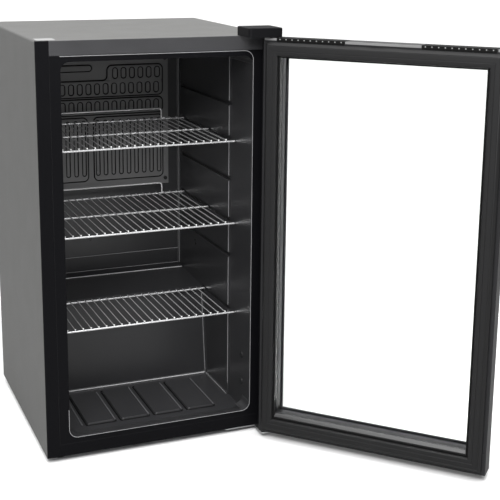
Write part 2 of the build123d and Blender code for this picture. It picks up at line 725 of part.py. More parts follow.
with BuildPart() as compressor:
    with BuildSketch(Plane.XY.offset(MOUNT_PLATE_Z)):
        with Locations((COMPRESSOR_X, COMPRESSOR_Y)):
            RectangleRounded(GROMMET_SPAN_X + 22, GROMMET_SPAN_Y + 22, 10)
            with GridLocations(GROMMET_SPAN_X, GROMMET_SPAN_Y, 2, 2):
                Circle(GROMMET_BOLT + 0.1, mode=Mode.SUBTRACT)
    extrude(amount=MOUNT_PLATE)
    with BuildSketch(Plane.XY.offset(MOUNT_PLATE_Z + MOUNT_PLATE)):
        with Locations((COMPRESSOR_X, COMPRESSOR_Y)):
            Circle(SHELL_RADIUS)
    extrude(amount=SHELL_TOP - MOUNT_PLATE_Z - MOUNT_PLATE)
    fillet(compressor.faces().sort_by(Axis.Z)[-1].edges(), SHELL_DOME)
    with BuildSketch(Plane.XY.offset(85)):
        with Locations((COMPRESSOR_X, COMPRESSOR_Y)):
            Circle(SHELL_RADIUS + 2.5)
    extrude(amount=4)
save(compressor.part, "compressor")

with BuildPart() as compressor_grommets:
    with BuildSketch(Plane.XY.offset(PAN_TOP)):
        with Locations((COMPRESSOR_X, COMPRESSOR_Y)):
            with GridLocations(GROMMET_SPAN_X, GROMMET_SPAN_Y, 2, 2):
                Circle(GROMMET_RADIUS)
                Circle(GROMMET_BOLT + 0.1, mode=Mode.SUBTRACT)
    extrude(amount=GROMMET_HEIGHT)
save(compressor_grommets.part, "compressor_grommets")

with BuildPart() as compressor_bolts:
    with BuildSketch(Plane.XY.offset(FOOT_HEIGHT)):
        with Locations((COMPRESSOR_X, COMPRESSOR_Y)):
            with GridLocations(GROMMET_SPAN_X, GROMMET_SPAN_Y, 2, 2):
                Circle(GROMMET_BOLT)
    extrude(amount=MOUNT_PLATE_Z + MOUNT_PLATE - FOOT_HEIGHT)
    with BuildSketch(Plane.XY.offset(MOUNT_PLATE_Z + MOUNT_PLATE)):
        with Locations((COMPRESSOR_X, COMPRESSOR_Y)):
            with GridLocations(GROMMET_SPAN_X, GROMMET_SPAN_Y, 2, 2):
                RegularPolygon(6, 6)
    extrude(amount=5)
save(compressor_bolts.part, "compressor_bolts")

RELAY_LENGTH = 30.0
with BuildPart() as relay_box:
    with Locations((COMPRESSOR_X + SHELL_RADIUS + RELAY_LENGTH / 2, COMPRESSOR_Y, 62)):
        Box(RELAY_LENGTH, 46, 44)
    with Locations((COMPRESSOR_X, COMPRESSOR_Y, 100)):
        Cylinder(SHELL_RADIUS + 2.6, 200, mode=Mode.SUBTRACT)
save(relay_box.part, "relay_box")

DRIER_X = 150.0
DRIER_Y = COMPRESSOR_Y + 20.0
with BuildPart() as filter_drier:
    with BuildSketch(Plane.XY.offset(60)):
        with Locations((DRIER_X, DRIER_Y)):
            Circle(9)
    extrude(amount=95)
    chamfer(filter_drier.edges().filter_by(GeomType.CIRCLE), 5)
save(filter_drier.part, "filter_drier")

COIL_Y = REAR_FACE - BACK_PANEL_THICK - CONDENSER_GAP / 2
COIL_RADIUS = 2.4
COIL_HALF = 200.0
COIL_LOW = 250.0
COIL_PITCH = 38.0
COIL_RUNS = 15
COIL_START = BAY_TOP + 8.0
LINE_BEND = 20.0

# discharge line from the shell to the coil, and suction line from the shell to the ceiling
discharge_route = (
    (COMPRESSOR_X + SHELL_RADIUS, COMPRESSOR_Y, LINE_Z),
    (COIL_HALF, COMPRESSOR_Y, LINE_Z),
    (COIL_HALF, COIL_Y, LINE_Z),
    (COIL_HALF, COIL_Y, COIL_START),
)
suction_route = (
    (COMPRESSOR_X - SHELL_RADIUS, COMPRESSOR_Y, LINE_Z),
    (COMPRESSOR_X - SHELL_RADIUS - 70, COMPRESSOR_Y, LINE_Z),
    (COMPRESSOR_X - SHELL_RADIUS - 70, COMPRESSOR_Y, BAY_TOP - PARTITION),
)
with BuildPart() as refrigerant_lines:
    for route, start_x in ((discharge_route, 1), (suction_route, -1)):
        with BuildLine() as run:
            FilletPolyline(*route, radius=LINE_BEND)
        with BuildSketch(Plane(origin=route[0], z_dir=(start_x, 0, 0))):
            Circle(COIL_RADIUS if start_x == 1 else LINE_RADIUS)
        sweep(path=run.wires()[0])
save(refrigerant_lines.part, "refrigerant_lines")

# serpentine coil held against the inside of the back panel
coil_points = [(COIL_HALF, COIL_Y, COIL_START)]
for run_index in range(COIL_RUNS):
    height = COIL_LOW + run_index * COIL_PITCH
    ends = (COIL_HALF, -COIL_HALF) if run_index % 2 == 0 else (-COIL_HALF, COIL_HALF)
    coil_points.append((ends[0], COIL_Y, height))
    coil_points.append((ends[1], COIL_Y, height))
with BuildPart() as condenser_coil:
    with BuildLine() as coil_path:
        FilletPolyline(*coil_points, radius=14)
    with BuildSketch(Plane(origin=coil_points[0], z_dir=(0, 0, 1))):
        Circle(COIL_RADIUS)
    sweep(path=coil_path.wires()[0])
save(condenser_coil.part, "condenser_coil")

TRAY_LOW = SHELL_TOP + 0.5
TRAY_RIM = TRAY_LOW + 26.0
TRAY_WALL = 2.0
with BuildPart() as drip_tray:
    with BuildSketch(Plane.XY.offset(TRAY_LOW)):
        with Locations((-10, COMPRESSOR_Y - 4)):
            RectangleRounded(190, 118, 10)
    extrude(amount=TRAY_RIM - TRAY_LOW, taper=-4)
    with BuildSketch(Plane.XY.offset(TRAY_LOW + TRAY_WALL)):
        with Locations((-10, COMPRESSOR_Y - 4)):
            RectangleRounded(190 - 2 * TRAY_WALL, 118 - 2 * TRAY_WALL, 8)
    extrude(amount=TRAY_RIM - TRAY_LOW, taper=-4, mode=Mode.SUBTRACT)
save(drip_tray.part, "drip_tray")

COVER_LOW = PAN_TOP + PAN_UPSTAND
GLAND_X = 190.0
GLAND_Z = 60.0
GLAND_RADIUS = 9.0
CORD_BORE = 3.6
SLOT_LENGTH = 46.0
SLOT_WIDTH = 5.0
SLOT_PITCH = 14.0
SLOT_COLUMNS = 24
COVER_SCREW_X = 228.0
COVER_SCREW_Z = (45.0, 190.0)

with BuildPart() as compressor_cover:
    with BuildSketch(front_plane(REAR_FACE)):
        with Locations((0, (COVER_LOW + BAY_TOP) / 2)):
            Rectangle(2 * INSIDE_HALF, BAY_TOP - COVER_LOW)
        with Locations((-25, 145), (-25, 85)):
            with GridLocations(SLOT_PITCH, 1, SLOT_COLUMNS, 1):
                SlotOverall(SLOT_LENGTH, SLOT_WIDTH, rotation=90, mode=Mode.SUBTRACT)
        with Locations((GLAND_X, GLAND_Z)):
            Circle(GLAND_RADIUS, mode=Mode.SUBTRACT)
        for level in COVER_SCREW_Z:
            with Locations((-COVER_SCREW_X, level), (COVER_SCREW_X, level)):
                Circle(2.1, mode=Mode.SUBTRACT)
    extrude(amount=BACK_PANEL_THICK)
save(compressor_cover.part, "compressor_cover")

with BuildPart() as cover_screws:
    for level in COVER_SCREW_Z:
        for side in (-1, 1):
            with BuildSketch(front_plane(REAR_FACE)):
                with Locations((side * COVER_SCREW_X, level)):
                    Circle(2)
            extrude(amount=8)
            with BuildSketch(front_plane(REAR_FACE)):
                with Locations((side * COVER_SCREW_X, level)):
                    Circle(4.2)
            extrude(amount=-2)
save(cover_screws.part, "cover_screws")

# inlet where the supply cord would enter
with BuildPart() as cord_gland:
    with BuildSketch(front_plane(REAR_FACE - 8)):
        with Locations((GLAND_X, GLAND_Z)):
            Circle(GLAND_RADIUS - 0.1)
    extrude(amount=-8)
    with BuildSketch(front_plane(REAR_FACE)):
        with Locations((GLAND_X, GLAND_Z)):
            Circle(GLAND_RADIUS + 3)
    extrude(amount=-2.5)
    with BuildSketch(front_plane(REAR_FACE - 8)):
        with Locations((GLAND_X, GLAND_Z)):
            Circle(CORD_BORE)
    extrude(amount=-12, mode=Mode.SUBTRACT)
save(cord_gland.part, "cord_gland")

# ---------------------------------------------------------------- shelves
WIRE_HALF = MOUTH_HALF - 0.6
RAIL_WIRES = {
    "top": (SHELF_FRONT, SHELF_MIDDLE, SHELF_BACK),
    "middle": (SHELF_FRONT, SHELF_MIDDLE, SHELF_BACK),
    "lower": (SHELF_FRONT, LOWER_SHELF_BACK),
}
for shelf_name, level in SHELF_LEVELS.items():
    wires_y = RAIL_WIRES[shelf_name]
    with BuildPart() as shelf_frame:
        with BuildSketch(side_plane(-WIRE_HALF)):
            for wire_y in wires_y:
                with Locations((wire_y, level)):
                    Circle(WIRE / 2)
        extrude(amount=2 * WIRE_HALF)
        if shelf_name != "lower":
            guard_y = wires_y[-1] + WIRE + 0.05
            guard_route = (
                (-GUARD_HALF, guard_y, level - 2),
                (-GUARD_HALF, guard_y, level + GUARD_RISE),
                (GUARD_HALF, guard_y, level + GUARD_RISE),
                (GUARD_HALF, guard_y, level - 2),
            )
            with BuildLine() as guard_path:
                FilletPolyline(*guard_route, radius=6)
            with BuildSketch(Plane(origin=guard_route[0], z_dir=(0, 0, 1))):
                Circle(WIRE / 2)
            sweep(path=guard_path.wires()[0])
    save(shelf_frame.part, f"shelf_{shelf_name}_frame")

    rod_start = wires_y[0] - 1.5
    rod_length = wires_y[-1] + 1.5 - rod_start
    with BuildPart() as shelf_rods:
        with BuildSketch(front_plane(rod_start)):
            with Locations((0, level + WIRE / 2 + ROD / 2)):
                with GridLocations(ROD_PITCH, 1, ROD_COUNT, 1):
                    Circle(ROD / 2)
        extrude(amount=-rod_length)
    save(shelf_rods.part, f"shelf_{shelf_name}_rods")

# ---------------------------------------------------------------- door, built shut
DOOR_HALF = DOOR_WIDTH / 2
OPENING_HALF = DOOR_HALF - DOOR_STILE
OPENING_LOW = DOOR_BOTTOM + DOOR_BOTTOM_BORDER
OPENING_HIGH = DOOR_TOP - DOOR_TOP_BORDER
REBATE = 13.0
REBATE_Y = DOOR_OUTER_Y + 4.0
STILE_LOW = DOOR_BOTTOM + BOTTOM_CAP_HEIGHT
STILE_HIGH = DOOR_TOP - TOP_CAP_HEIGHT
DOOR_MID_Z = (OPENING_LOW + OPENING_HIGH) / 2
REBATE_HALF = OPENING_HALF + REBATE
REBATE_HEIGHT = OPENING_HIGH - OPENING_LOW + 2 * REBATE
HANDLE_X = -217.0
HANDLE_LOW = 330.0
HANDLE_HIGH = 590.0
HANDLE_WIDTH = 9.0
HANDLE_BAR = 7.0
HANDLE_POST = 12.0
POST_INSET = 14.0
POST_LEVELS = (HANDLE_LOW + POST_INSET, HANDLE_HIGH - POST_INSET)
SPARE_PIN_X = -PIVOT_X
POCKET_PITCH = 12.5
POCKET_LENGTH = 9.5
POCKET_DEPTH = 8.0
POCKET_REACH = 18.0
POCKET_ROWS = ((142.0, 11), (-146.0, 11))
POCKET_Y = DOOR_INNER_Y - 18.0


# the step in the frame members that holds the panes
with BuildPart() as pane_rebate:
    with BuildSketch(front_plane(REBATE_Y)):
        with Locations((0, DOOR_MID_Z)):
            Rectangle(2 * REBATE_HALF, REBATE_HEIGHT)
    extrude(amount=REBATE_Y - DOOR_INNER_Y - 1)


for stile_name, side in (("hinge", 1), ("latch", -1)):
    with BuildPart() as door_stile:
        with BuildSketch(front_plane(DOOR_OUTER_Y)):
            with Locations((side * (DOOR_HALF - DOOR_STILE / 2), (STILE_LOW + STILE_HIGH) / 2)):
                Rectangle(DOOR_STILE, STILE_HIGH - STILE_LOW)
        extrude(amount=-DOOR_THICK)
        outer_edges = door_stile.edges().filter_by(Axis.Z).sort_by(Axis.X)
        chamfer(outer_edges[-2:] if side == 1 else outer_edges[:2], 1.5)
        add(pane_rebate.part, mode=Mode.SUBTRACT)
        if stile_name == "latch":
            with BuildSketch(front_plane(DOOR_OUTER_Y)):
                for level in POST_LEVELS:
                    with Locations((HANDLE_X, level)):
                        Circle(SCREW + 0.1)
            extrude(amount=-DOOR_THICK, mode=Mode.SUBTRACT)
    save(swing(door_stile.part), f"door_stile_{stile_name}")

with BuildPart() as door_top_cap:
    with BuildSketch(front_plane(DOOR_OUTER_Y)):
        with Locations((0, (STILE_HIGH + DOOR_TOP) / 2)):
            Rectangle(DOOR_WIDTH, DOOR_TOP - STILE_HIGH)
    extrude(amount=-DOOR_THICK)
    corner_edges = door_top_cap.edges().filter_by(Axis.Z)
    chamfer(corner_edges, 1.5)
    add(pane_rebate.part, mode=Mode.SUBTRACT)
    with BuildSketch(Plane.XY.offset(DOOR_TOP)):
        for row_x, count in POCKET_ROWS:
            with Locations((row_x, POCKET_Y)):
                with GridLocations(POCKET_PITCH, 1, count, 1):
                    Rectangle(POCKET_LENGTH, POCKET_REACH)
    extrude(amount=-POCKET_DEPTH, mode=Mode.SUBTRACT)
    with BuildSketch(Plane.XY.offset(DOOR_TOP)):
        with Locations((PIVOT_X, PIVOT_Y), (SPARE_PIN_X, PIVOT_Y)):
            Circle(BUSH_RADIUS)
    extrude(amount=-PIN_REACH - 2, mode=Mode.SUBTRACT)
save(swing(door_top_cap.part), "door_top_cap")

with BuildPart() as door_bottom_cap:
    with BuildSketch(front_plane(DOOR_OUTER_Y)):
        with Locations((0, (DOOR_BOTTOM + STILE_LOW) / 2)):
            Rectangle(DOOR_WIDTH, STILE_LOW - DOOR_BOTTOM)
    extrude(amount=-DOOR_THICK)
    corner_edges = door_bottom_cap.edges().filter_by(Axis.Z)
    chamfer(corner_edges, 1.5)
    with BuildSketch(front_plane(DOOR_OUTER_Y)):
        with Locations((0, (STILE_LOW + OPENING_LOW) / 2)):
            Rectangle(2 * OPENING_HALF, OPENING_LOW - STILE_LOW)
    extrude(amount=-DOOR_THICK)
    add(pane_rebate.part, mode=Mode.SUBTRACT)
    with BuildSketch(Plane.XY.offset(DOOR_BOTTOM)):
        with Locations((PIVOT_X, PIVOT_Y)):
            Circle(BUSH_RADIUS)
    extrude(amount=PIN_REACH + 2, mode=Mode.SUBTRACT)
save(swing(door_bottom_cap.part), "door_bottom_cap")

BUSH_BORE = PIN_RADIUS + PIN_CLEARANCE
with BuildPart() as top_hinge_bush:
    with BuildSketch(Plane.XY.offset(DOOR_TOP)):
        with Locations((PIVOT_X, PIVOT_Y)):
            Circle(BUSH_FLANGE)
            Circle(BUSH_BORE, mode=Mode.SUBTRACT)
    extrude(amount=BUSH_FLANGE_THICK)
    with BuildSketch(Plane.XY.offset(DOOR_TOP)):
        with Locations((PIVOT_X, PIVOT_Y)):
            Circle(BUSH_RADIUS)
            Circle(BUSH_BORE, mode=Mode.SUBTRACT)
    extrude(amount=-PIN_REACH)
save(swing(top_hinge_bush.part), "top_hinge_bush")

with BuildPart() as bottom_hinge_bush:
    with BuildSketch(Plane.XY.offset(DOOR_BOTTOM)):
        with Locations((PIVOT_X, PIVOT_Y)):
            Circle(BUSH_FLANGE)
            Circle(BUSH_BORE, mode=Mode.SUBTRACT)
    extrude(amount=-(DOOR_BOTTOM - BRACKET_TOP - 0.3))
    with BuildSketch(Plane.XY.offset(DOOR_BOTTOM)):
        with Locations((PIVOT_X, PIVOT_Y)):
            Circle(BUSH_RADIUS)
            Circle(BUSH_BORE, mode=Mode.SUBTRACT)
    extrude(amount=PIN_REACH + 2)
save(swing(bottom_hinge_bush.part), "bottom_hinge_bush")

with BuildPart() as spare_pin_plug:
    with BuildSketch(Plane.XY.offset(DOOR_TOP)):
        with Locations((SPARE_PIN_X, PIVOT_Y)):
            Circle(BUSH_RADIUS)
            Circle(PIN_RADIUS, mode=Mode.SUBTRACT)
    extrude(amount=-PIN_REACH)
save(swing(spare_pin_plug.part), "spare_pin_plug")

PANE_HALF = OPENING_HALF + GLASS_OVERLAP
PANE_HEIGHT = OPENING_HIGH - OPENING_LOW + 2 * GLASS_OVERLAP
GLASS_INNER_Y = GLASS_OUTER_Y + GLASS + GLASS_GAP
for pane_name, pane_y in (("outer", GLASS_OUTER_Y), ("inner", GLASS_INNER_Y)):
    with BuildPart() as pane:
        with BuildSketch(front_plane(pane_y)):
            with Locations((0, DOOR_MID_Z)):
                Rectangle(2 * PANE_HALF, PANE_HEIGHT)
        extrude(amount=-GLASS)
    save(swing(pane.part), f"glass_{pane_name}")

SPACER_WIDTH = 9.0
with BuildPart() as glass_spacer:
    with BuildSketch(front_plane(GLASS_OUTER_Y + GLASS)):
        with Locations((0, DOOR_MID_Z)):
            Rectangle(2 * PANE_HALF, PANE_HEIGHT)
            Rectangle(
                2 * (PANE_HALF - SPACER_WIDTH),
                PANE_HEIGHT - 2 * SPACER_WIDTH,
                mode=Mode.SUBTRACT,
            )
    extrude(amount=-GLASS_GAP)
save(swing(glass_spacer.part), "glass_spacer")

RETAINER_Y = GLASS_INNER_Y + GLASS
RETAINER_END_Y = DOOR_INNER_Y - 2.0
with BuildPart() as glass_retainer:
    with BuildSketch(front_plane(RETAINER_Y)):
        with Locations((0, DOOR_MID_Z)):
            Rectangle(2 * REBATE_HALF - 0.4, REBATE_HEIGHT - 0.4)
            Rectangle(
                2 * OPENING_HALF,
                OPENING_HIGH - OPENING_LOW,
                mode=Mode.SUBTRACT,
            )
    extrude(amount=RETAINER_Y - RETAINER_END_Y)
    inner_face = glass_retainer.faces().sort_by(Axis.Y)[-1]
    chamfer(inner_face.inner_wires()[0].edges(), 4)
save(swing(glass_retainer.part), "glass_retainer")

GASKET_INSET = 7.5
GASKET_WIDTH = 27.5
GASKET_FACE_Y = FRONT - 0.3
GASKET_LIP = 5.0
MAGNET_WIDTH = 8.0
MAGNET_THICK = 4.0
GASKET_MID_Z = (DOOR_BOTTOM + DOOR_TOP) / 2
GASKET_OUTER_W = DOOR_WIDTH - 2 * GASKET_INSET
GASKET_OUTER_H = DOOR_TOP - DOOR_BOTTOM - 2 * GASKET_INSET
MAGNET_W = GASKET_OUTER_W - GASKET_WIDTH
MAGNET_H = GASKET_OUTER_H - GASKET_WIDTH
MAGNET_Y = GASKET_FACE_Y - 1.2

with BuildPart() as door_gasket:
    with BuildSketch(front_plane(DOOR_INNER_Y)):
        with Locations((0, GASKET_MID_Z)):
            Rectangle(GASKET_OUTER_W, GASKET_OUTER_H)
            Rectangle(
                GASKET_OUTER_W - 2 * GASKET_WIDTH,
                GASKET_OUTER_H - 2 * GASKET_WIDTH,
                mode=Mode.SUBTRACT,
            )
    extrude(amount=DOOR_INNER_Y - GASKET_FACE_Y)
    sealing_face = door_gasket.faces().sort_by(Axis.Y)[-1]
    chamfer(sealing_face.outer_wire().edges(), GASKET_LIP)
    with BuildSketch(front_plane(MAGNET_Y)):
        with Locations((0, GASKET_MID_Z)):
            Rectangle(MAGNET_W + MAGNET_WIDTH + 0.4, MAGNET_H + MAGNET_WIDTH + 0.4)
            Rectangle(
                MAGNET_W - MAGNET_WIDTH - 0.4,
                MAGNET_H - MAGNET_WIDTH - 0.4,
                mode=Mode.SUBTRACT,
            )
    extrude(amount=MAGNET_THICK, mode=Mode.SUBTRACT)
save(swing(door_gasket.part), "door_gasket")

MAGNET_GAP = 12.0
with BuildPart() as gasket_magnets:
    with BuildSketch(front_plane(MAGNET_Y - 0.2)):
        for side in (-1, 1):
            with Locations((side * MAGNET_W / 2, GASKET_MID_Z)):
                Rectangle(MAGNET_WIDTH, MAGNET_H - MAGNET_GAP)
            with Locations((0, GASKET_MID_Z + side * MAGNET_H / 2)):
                Rectangle(MAGNET_W - MAGNET_GAP, MAGNET_WIDTH)
    extrude(amount=MAGNET_THICK - 0.4)
save(swing(gasket_magnets.part), "gasket_magnets")

HANDLE_OUT_Y = DOOR_OUTER_Y - HANDLE_POST
with BuildPart() as door_handle:
    with BuildSketch(front_plane(HANDLE_OUT_Y)):
        with Locations((HANDLE_X, (HANDLE_LOW + HANDLE_HIGH) / 2)):
            RectangleRounded(HANDLE_WIDTH, HANDLE_HIGH - HANDLE_LOW, 4)
    extrude(amount=HANDLE_BAR)
    chamfer(door_handle.faces().sort_by(Axis.Y)[0].edges(), 1.5)
    for level in POST_LEVELS:
        with BuildSketch(front_plane(HANDLE_OUT_Y)):
            with Locations((HANDLE_X, level)):
                RectangleRounded(HANDLE_WIDTH, 22, 3)
        extrude(amount=-HANDLE_POST)
        with BuildSketch(front_plane(DOOR_OUTER_Y)):
            with Locations((HANDLE_X, level)):
                Circle(SCREW)
        extrude(amount=HANDLE_POST, mode=Mode.SUBTRACT)
save(swing(door_handle.part), "door_handle")

with BuildPart() as handle_screws:
    for level in POST_LEVELS:
        with BuildSketch(front_plane(DOOR_OUTER_Y - HANDLE_POST)):
            with Locations((HANDLE_X, level)):
                Circle(SCREW)
        extrude(amount=-HANDLE_POST - DOOR_THICK)
save(swing(handle_screws.part), "handle_screws")
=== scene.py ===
"""Looks of the glass door merchandiser: finishes, detailed pieces, camera and soft studio light.

Metres. +X is to the right as a customer faces the door, +Y runs to the back and +Z is up.
"""

from __future__ import annotations

import json
import logging
import math
from dataclasses import dataclass, field
from enum import Enum
from typing import Any, Callable, Iterable

import bmesh
import bpy
import numpy as np
from mathutils import Matrix, Vector

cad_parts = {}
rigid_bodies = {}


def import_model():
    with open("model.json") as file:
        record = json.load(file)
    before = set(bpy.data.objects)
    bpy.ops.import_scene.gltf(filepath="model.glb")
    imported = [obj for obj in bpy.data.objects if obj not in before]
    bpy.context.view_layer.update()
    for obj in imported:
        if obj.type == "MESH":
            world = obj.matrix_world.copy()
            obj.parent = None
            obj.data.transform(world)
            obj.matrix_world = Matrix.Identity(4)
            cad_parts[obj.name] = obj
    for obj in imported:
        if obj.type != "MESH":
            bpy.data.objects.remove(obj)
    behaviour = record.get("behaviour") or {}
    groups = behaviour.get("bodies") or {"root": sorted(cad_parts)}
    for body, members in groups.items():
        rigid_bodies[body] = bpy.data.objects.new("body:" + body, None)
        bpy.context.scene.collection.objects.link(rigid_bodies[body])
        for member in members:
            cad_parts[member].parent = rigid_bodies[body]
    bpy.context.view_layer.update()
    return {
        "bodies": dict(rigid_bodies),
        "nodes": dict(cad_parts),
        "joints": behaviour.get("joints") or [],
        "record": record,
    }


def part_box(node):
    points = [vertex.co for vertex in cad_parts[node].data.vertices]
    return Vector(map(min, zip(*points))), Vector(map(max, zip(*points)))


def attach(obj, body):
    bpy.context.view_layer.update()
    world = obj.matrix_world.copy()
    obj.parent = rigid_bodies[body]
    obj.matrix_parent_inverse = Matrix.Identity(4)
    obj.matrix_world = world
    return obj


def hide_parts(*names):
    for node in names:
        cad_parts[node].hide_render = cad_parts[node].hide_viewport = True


LOG = logging.getLogger("merchandiser")
MM = 0.001
Point = tuple[float, float, float]
Colour = tuple[float, float, float]


class Axis(Enum):
    """The direction that a screw head faces before the door is swung."""

    REAR = (-math.pi / 2, 0.0, 0.0)
    UP = (0.0, 0.0, 0.0)
    DOWN = (math.pi, 0.0, 0.0)


# ---------------------------------------------------------------- finishes
@dataclass(frozen=True)
class Finish:
    """One finish: its colour, gloss and the detail that varies over it."""

    name: str
    colour: Colour
    roughness: float
    metallic: float = 0.0
    spread: float = 0.05
    mottle: float = 0.08
    grain_scale: float = 900.0
    grain_depth: float = 0.02
    edge_radius: float = 0.0006
    edge_colour: Colour = (0.35, 0.35, 0.36)
    edge_wear: float = 0.1
    dust: float = 0.0
    coat: float = 0.0
    coat_roughness: float = 0.12
    specular: float = 0.5
    stretch: Point = (1.0, 1.0, 1.0)


@dataclass(frozen=True)
class GlassFinish:
    """A clear or frosted finish, with plain metallic and transmission."""

    name: str
    colour: Colour
    roughness: float
    ior: float = 1.45
    smear: float = 0.02
    smear_scale: float = 30.0
    mottle: float = 0.004
    passes_lamps: bool = False


FINISHES: tuple[Finish, ...] = (
    Finish("case_paint", (0.100, 0.100, 0.096), 0.44, grain_scale=1500.0, grain_depth=0.10,
           mottle=0.10, edge_radius=0.0018, edge_wear=0.16, dust=0.05),
    Finish("strip_black", (0.0035, 0.0035, 0.0045), 0.48, grain_depth=0.012, edge_radius=0.0012,
           specular=0.10, edge_wear=0.05),
    # A lighter copy of the black strip finish for the top front rail: painted sheen where the rail
    # catches the light.
    Finish("rail_sheen", (0.040, 0.040, 0.043), 0.36, grain_depth=0.012, edge_radius=0.0012,
           mottle=0.30, coat=0.2, edge_wear=0.14),
    Finish("back_sheet", (0.022, 0.022, 0.023), 0.50, grain_scale=1200.0, grain_depth=0.06,
           dust=0.06),
    Finish("base_steel", (0.52, 0.53, 0.54), 0.42, metallic=1.0, mottle=0.22, grain_scale=260.0,
           grain_depth=0.02),
    Finish("foam", (0.62, 0.50, 0.26), 0.92, mottle=0.20, grain_scale=420.0, grain_depth=0.35,
           edge_wear=0.0),
    Finish("liner_black", (0.027, 0.027, 0.029), 0.30, grain_scale=520.0, grain_depth=0.010,
           edge_radius=0.0009, coat=0.25, coat_roughness=0.30, edge_wear=0.10, mottle=0.10),
    Finish("evaporator_grey", (0.165, 0.165, 0.166), 0.38, grain_scale=800.0, grain_depth=0.03,
           mottle=0.12, edge_radius=0.0012),
    # Pale finish for thin beads that paint highlights on the liner's radii, steps and mouth lip.
    Finish("bead_gloss", (0.42, 0.42, 0.43), 0.22, grain_depth=0.005, coat=0.4),
    # Paler still, for the painted highlights along the hump's foot and the gutter's lip.
    Finish("ridge_bright", (0.72, 0.72, 0.73), 0.24, grain_depth=0.005, coat=0.4),
    # Mid grey, for the painted highlight on each floor pad's lit right flank.
    Finish("flank_grey", (0.11, 0.11, 0.115), 0.32, grain_depth=0.008),
    # Near black, for the vents and seams, and for the lines that paint shade in the door's channel,
    # round the floor pads and along the evaporator's pressed edges.
    Finish("track_black", (0.004, 0.004, 0.004), 0.60, grain_depth=0.02, specular=0.15),
    # Pale grey for bars that paint the highlight on the door's top cap where it catches light from
    # above.
    Finish("border_grey", (0.23, 0.23, 0.23), 0.36, grain_depth=0.012, edge_radius=0.0008),
    Finish("shelf_wire", (0.90, 0.90, 0.91), 0.18, metallic=0.65, mottle=0.05, grain_scale=700.0,
           grain_depth=0.006, edge_wear=0.0),
    # Near white for the weld nubs: real welds, with their glint painted into the colour.
    Finish("nub_bright", (0.96, 0.96, 0.96), 0.20, metallic=0.15, grain_depth=0.004,
           edge_wear=0.0),
    Finish("zinc", (0.66, 0.67, 0.68), 0.30, metallic=1.0, mottle=0.16, grain_scale=600.0,
           grain_depth=0.02, edge_wear=0.05),
    Finish("black_plastic", (0.005, 0.005, 0.006), 0.60, grain_scale=1400.0, grain_depth=0.06,
           edge_radius=0.0010, specular=0.12),
    Finish("rubber_black", (0.014, 0.014, 0.014), 0.72, grain_scale=900.0, grain_depth=0.08,
           edge_radius=0.0012, dust=0.12),
    Finish("gasket_grey", (0.010, 0.010, 0.0105), 0.52, grain_scale=1100.0, grain_depth=0.03,
           edge_radius=0.0008, edge_wear=0.06, specular=0.35),
    Finish("magnet", (0.05, 0.04, 0.035), 0.80, mottle=0.15),
    Finish("door_frame", (0.015, 0.015, 0.0165), 0.42, grain_depth=0.02, edge_radius=0.0010,
           edge_wear=0.12, specular=0.35),
    Finish("lip_gloss", (0.014, 0.014, 0.015), 0.22, grain_depth=0.008, edge_radius=0.0006,
           specular=0.65, edge_wear=0.10),
    Finish("rib_tip", (0.30, 0.30, 0.30), 0.45, grain_depth=0.01),
    Finish("spacer_aluminium", (0.10, 0.10, 0.105), 0.36, metallic=1.0, grain_scale=300.0,
           stretch=(1.0, 1.0, 0.05)),
    Finish("box_grey", (0.40, 0.40, 0.40), 0.48, grain_scale=1300.0, grain_depth=0.05),
    Finish("compressor_black", (0.010, 0.010, 0.011), 0.32, mottle=0.15, grain_scale=300.0,
           grain_depth=0.05, dust=0.16),
    Finish("copper", (0.72, 0.34, 0.19), 0.30, metallic=1.0, mottle=0.25, grain_scale=240.0),
    Finish("coil_black", (0.014, 0.014, 0.014), 0.48, grain_depth=0.04, dust=0.14),
    Finish("tray_black", (0.020, 0.020, 0.020), 0.55, grain_depth=0.05, dust=0.10),
    Finish("plug_dark", (0.018, 0.018, 0.019), 0.30, edge_radius=0.0008),
)

GLASSES: tuple[GlassFinish, ...] = (
    GlassFinish("door_glass", (0.985, 0.995, 0.99), 0.0, ior=1.10, passes_lamps=True),
    GlassFinish("bulb_glass", (0.95, 0.95, 0.92), 0.08),
    GlassFinish("lens_white", (0.88, 0.88, 0.85), 0.45),
)


def feed(tree: Any, target: Any, value: Any) -> None:
    """Links a socket to a node's input, or sets the input to a plain value."""
    if isinstance(value, bpy.types.NodeSocket):
        tree.links.new(value, target)
    else:
        target.default_value = value


def fill_inputs(tree: Any, node: Any, values: dict[str, Any]) -> Any:
    """Feeds a node's named inputs, each a value or a socket, and returns the node."""
    for label, value in values.items():
        feed(tree, node.inputs[label], value)
    return node


def add_math(tree: Any, operation: str, *values: Any) -> Any:
    """Adds one math node, whose inputs are numbers or sockets, and returns its output."""
    node = tree.nodes.new("ShaderNodeMath")
    node.operation = operation
    for slot, value in enumerate(values):
        feed(tree, node.inputs[slot], value)
    return node.outputs[0]


def mix_colours(tree: Any, factor: Any, first: Any, second: Any) -> Any:
    """Mixes two colours, each a value or a socket, and returns the mixed socket."""
    node = tree.nodes.new("ShaderNodeMix")
    node.data_type = "RGBA"
    for slot, value in ((0, factor), (6, first), (7, second)):
        feed(tree, node.inputs[slot], value)
    return node.outputs[2]


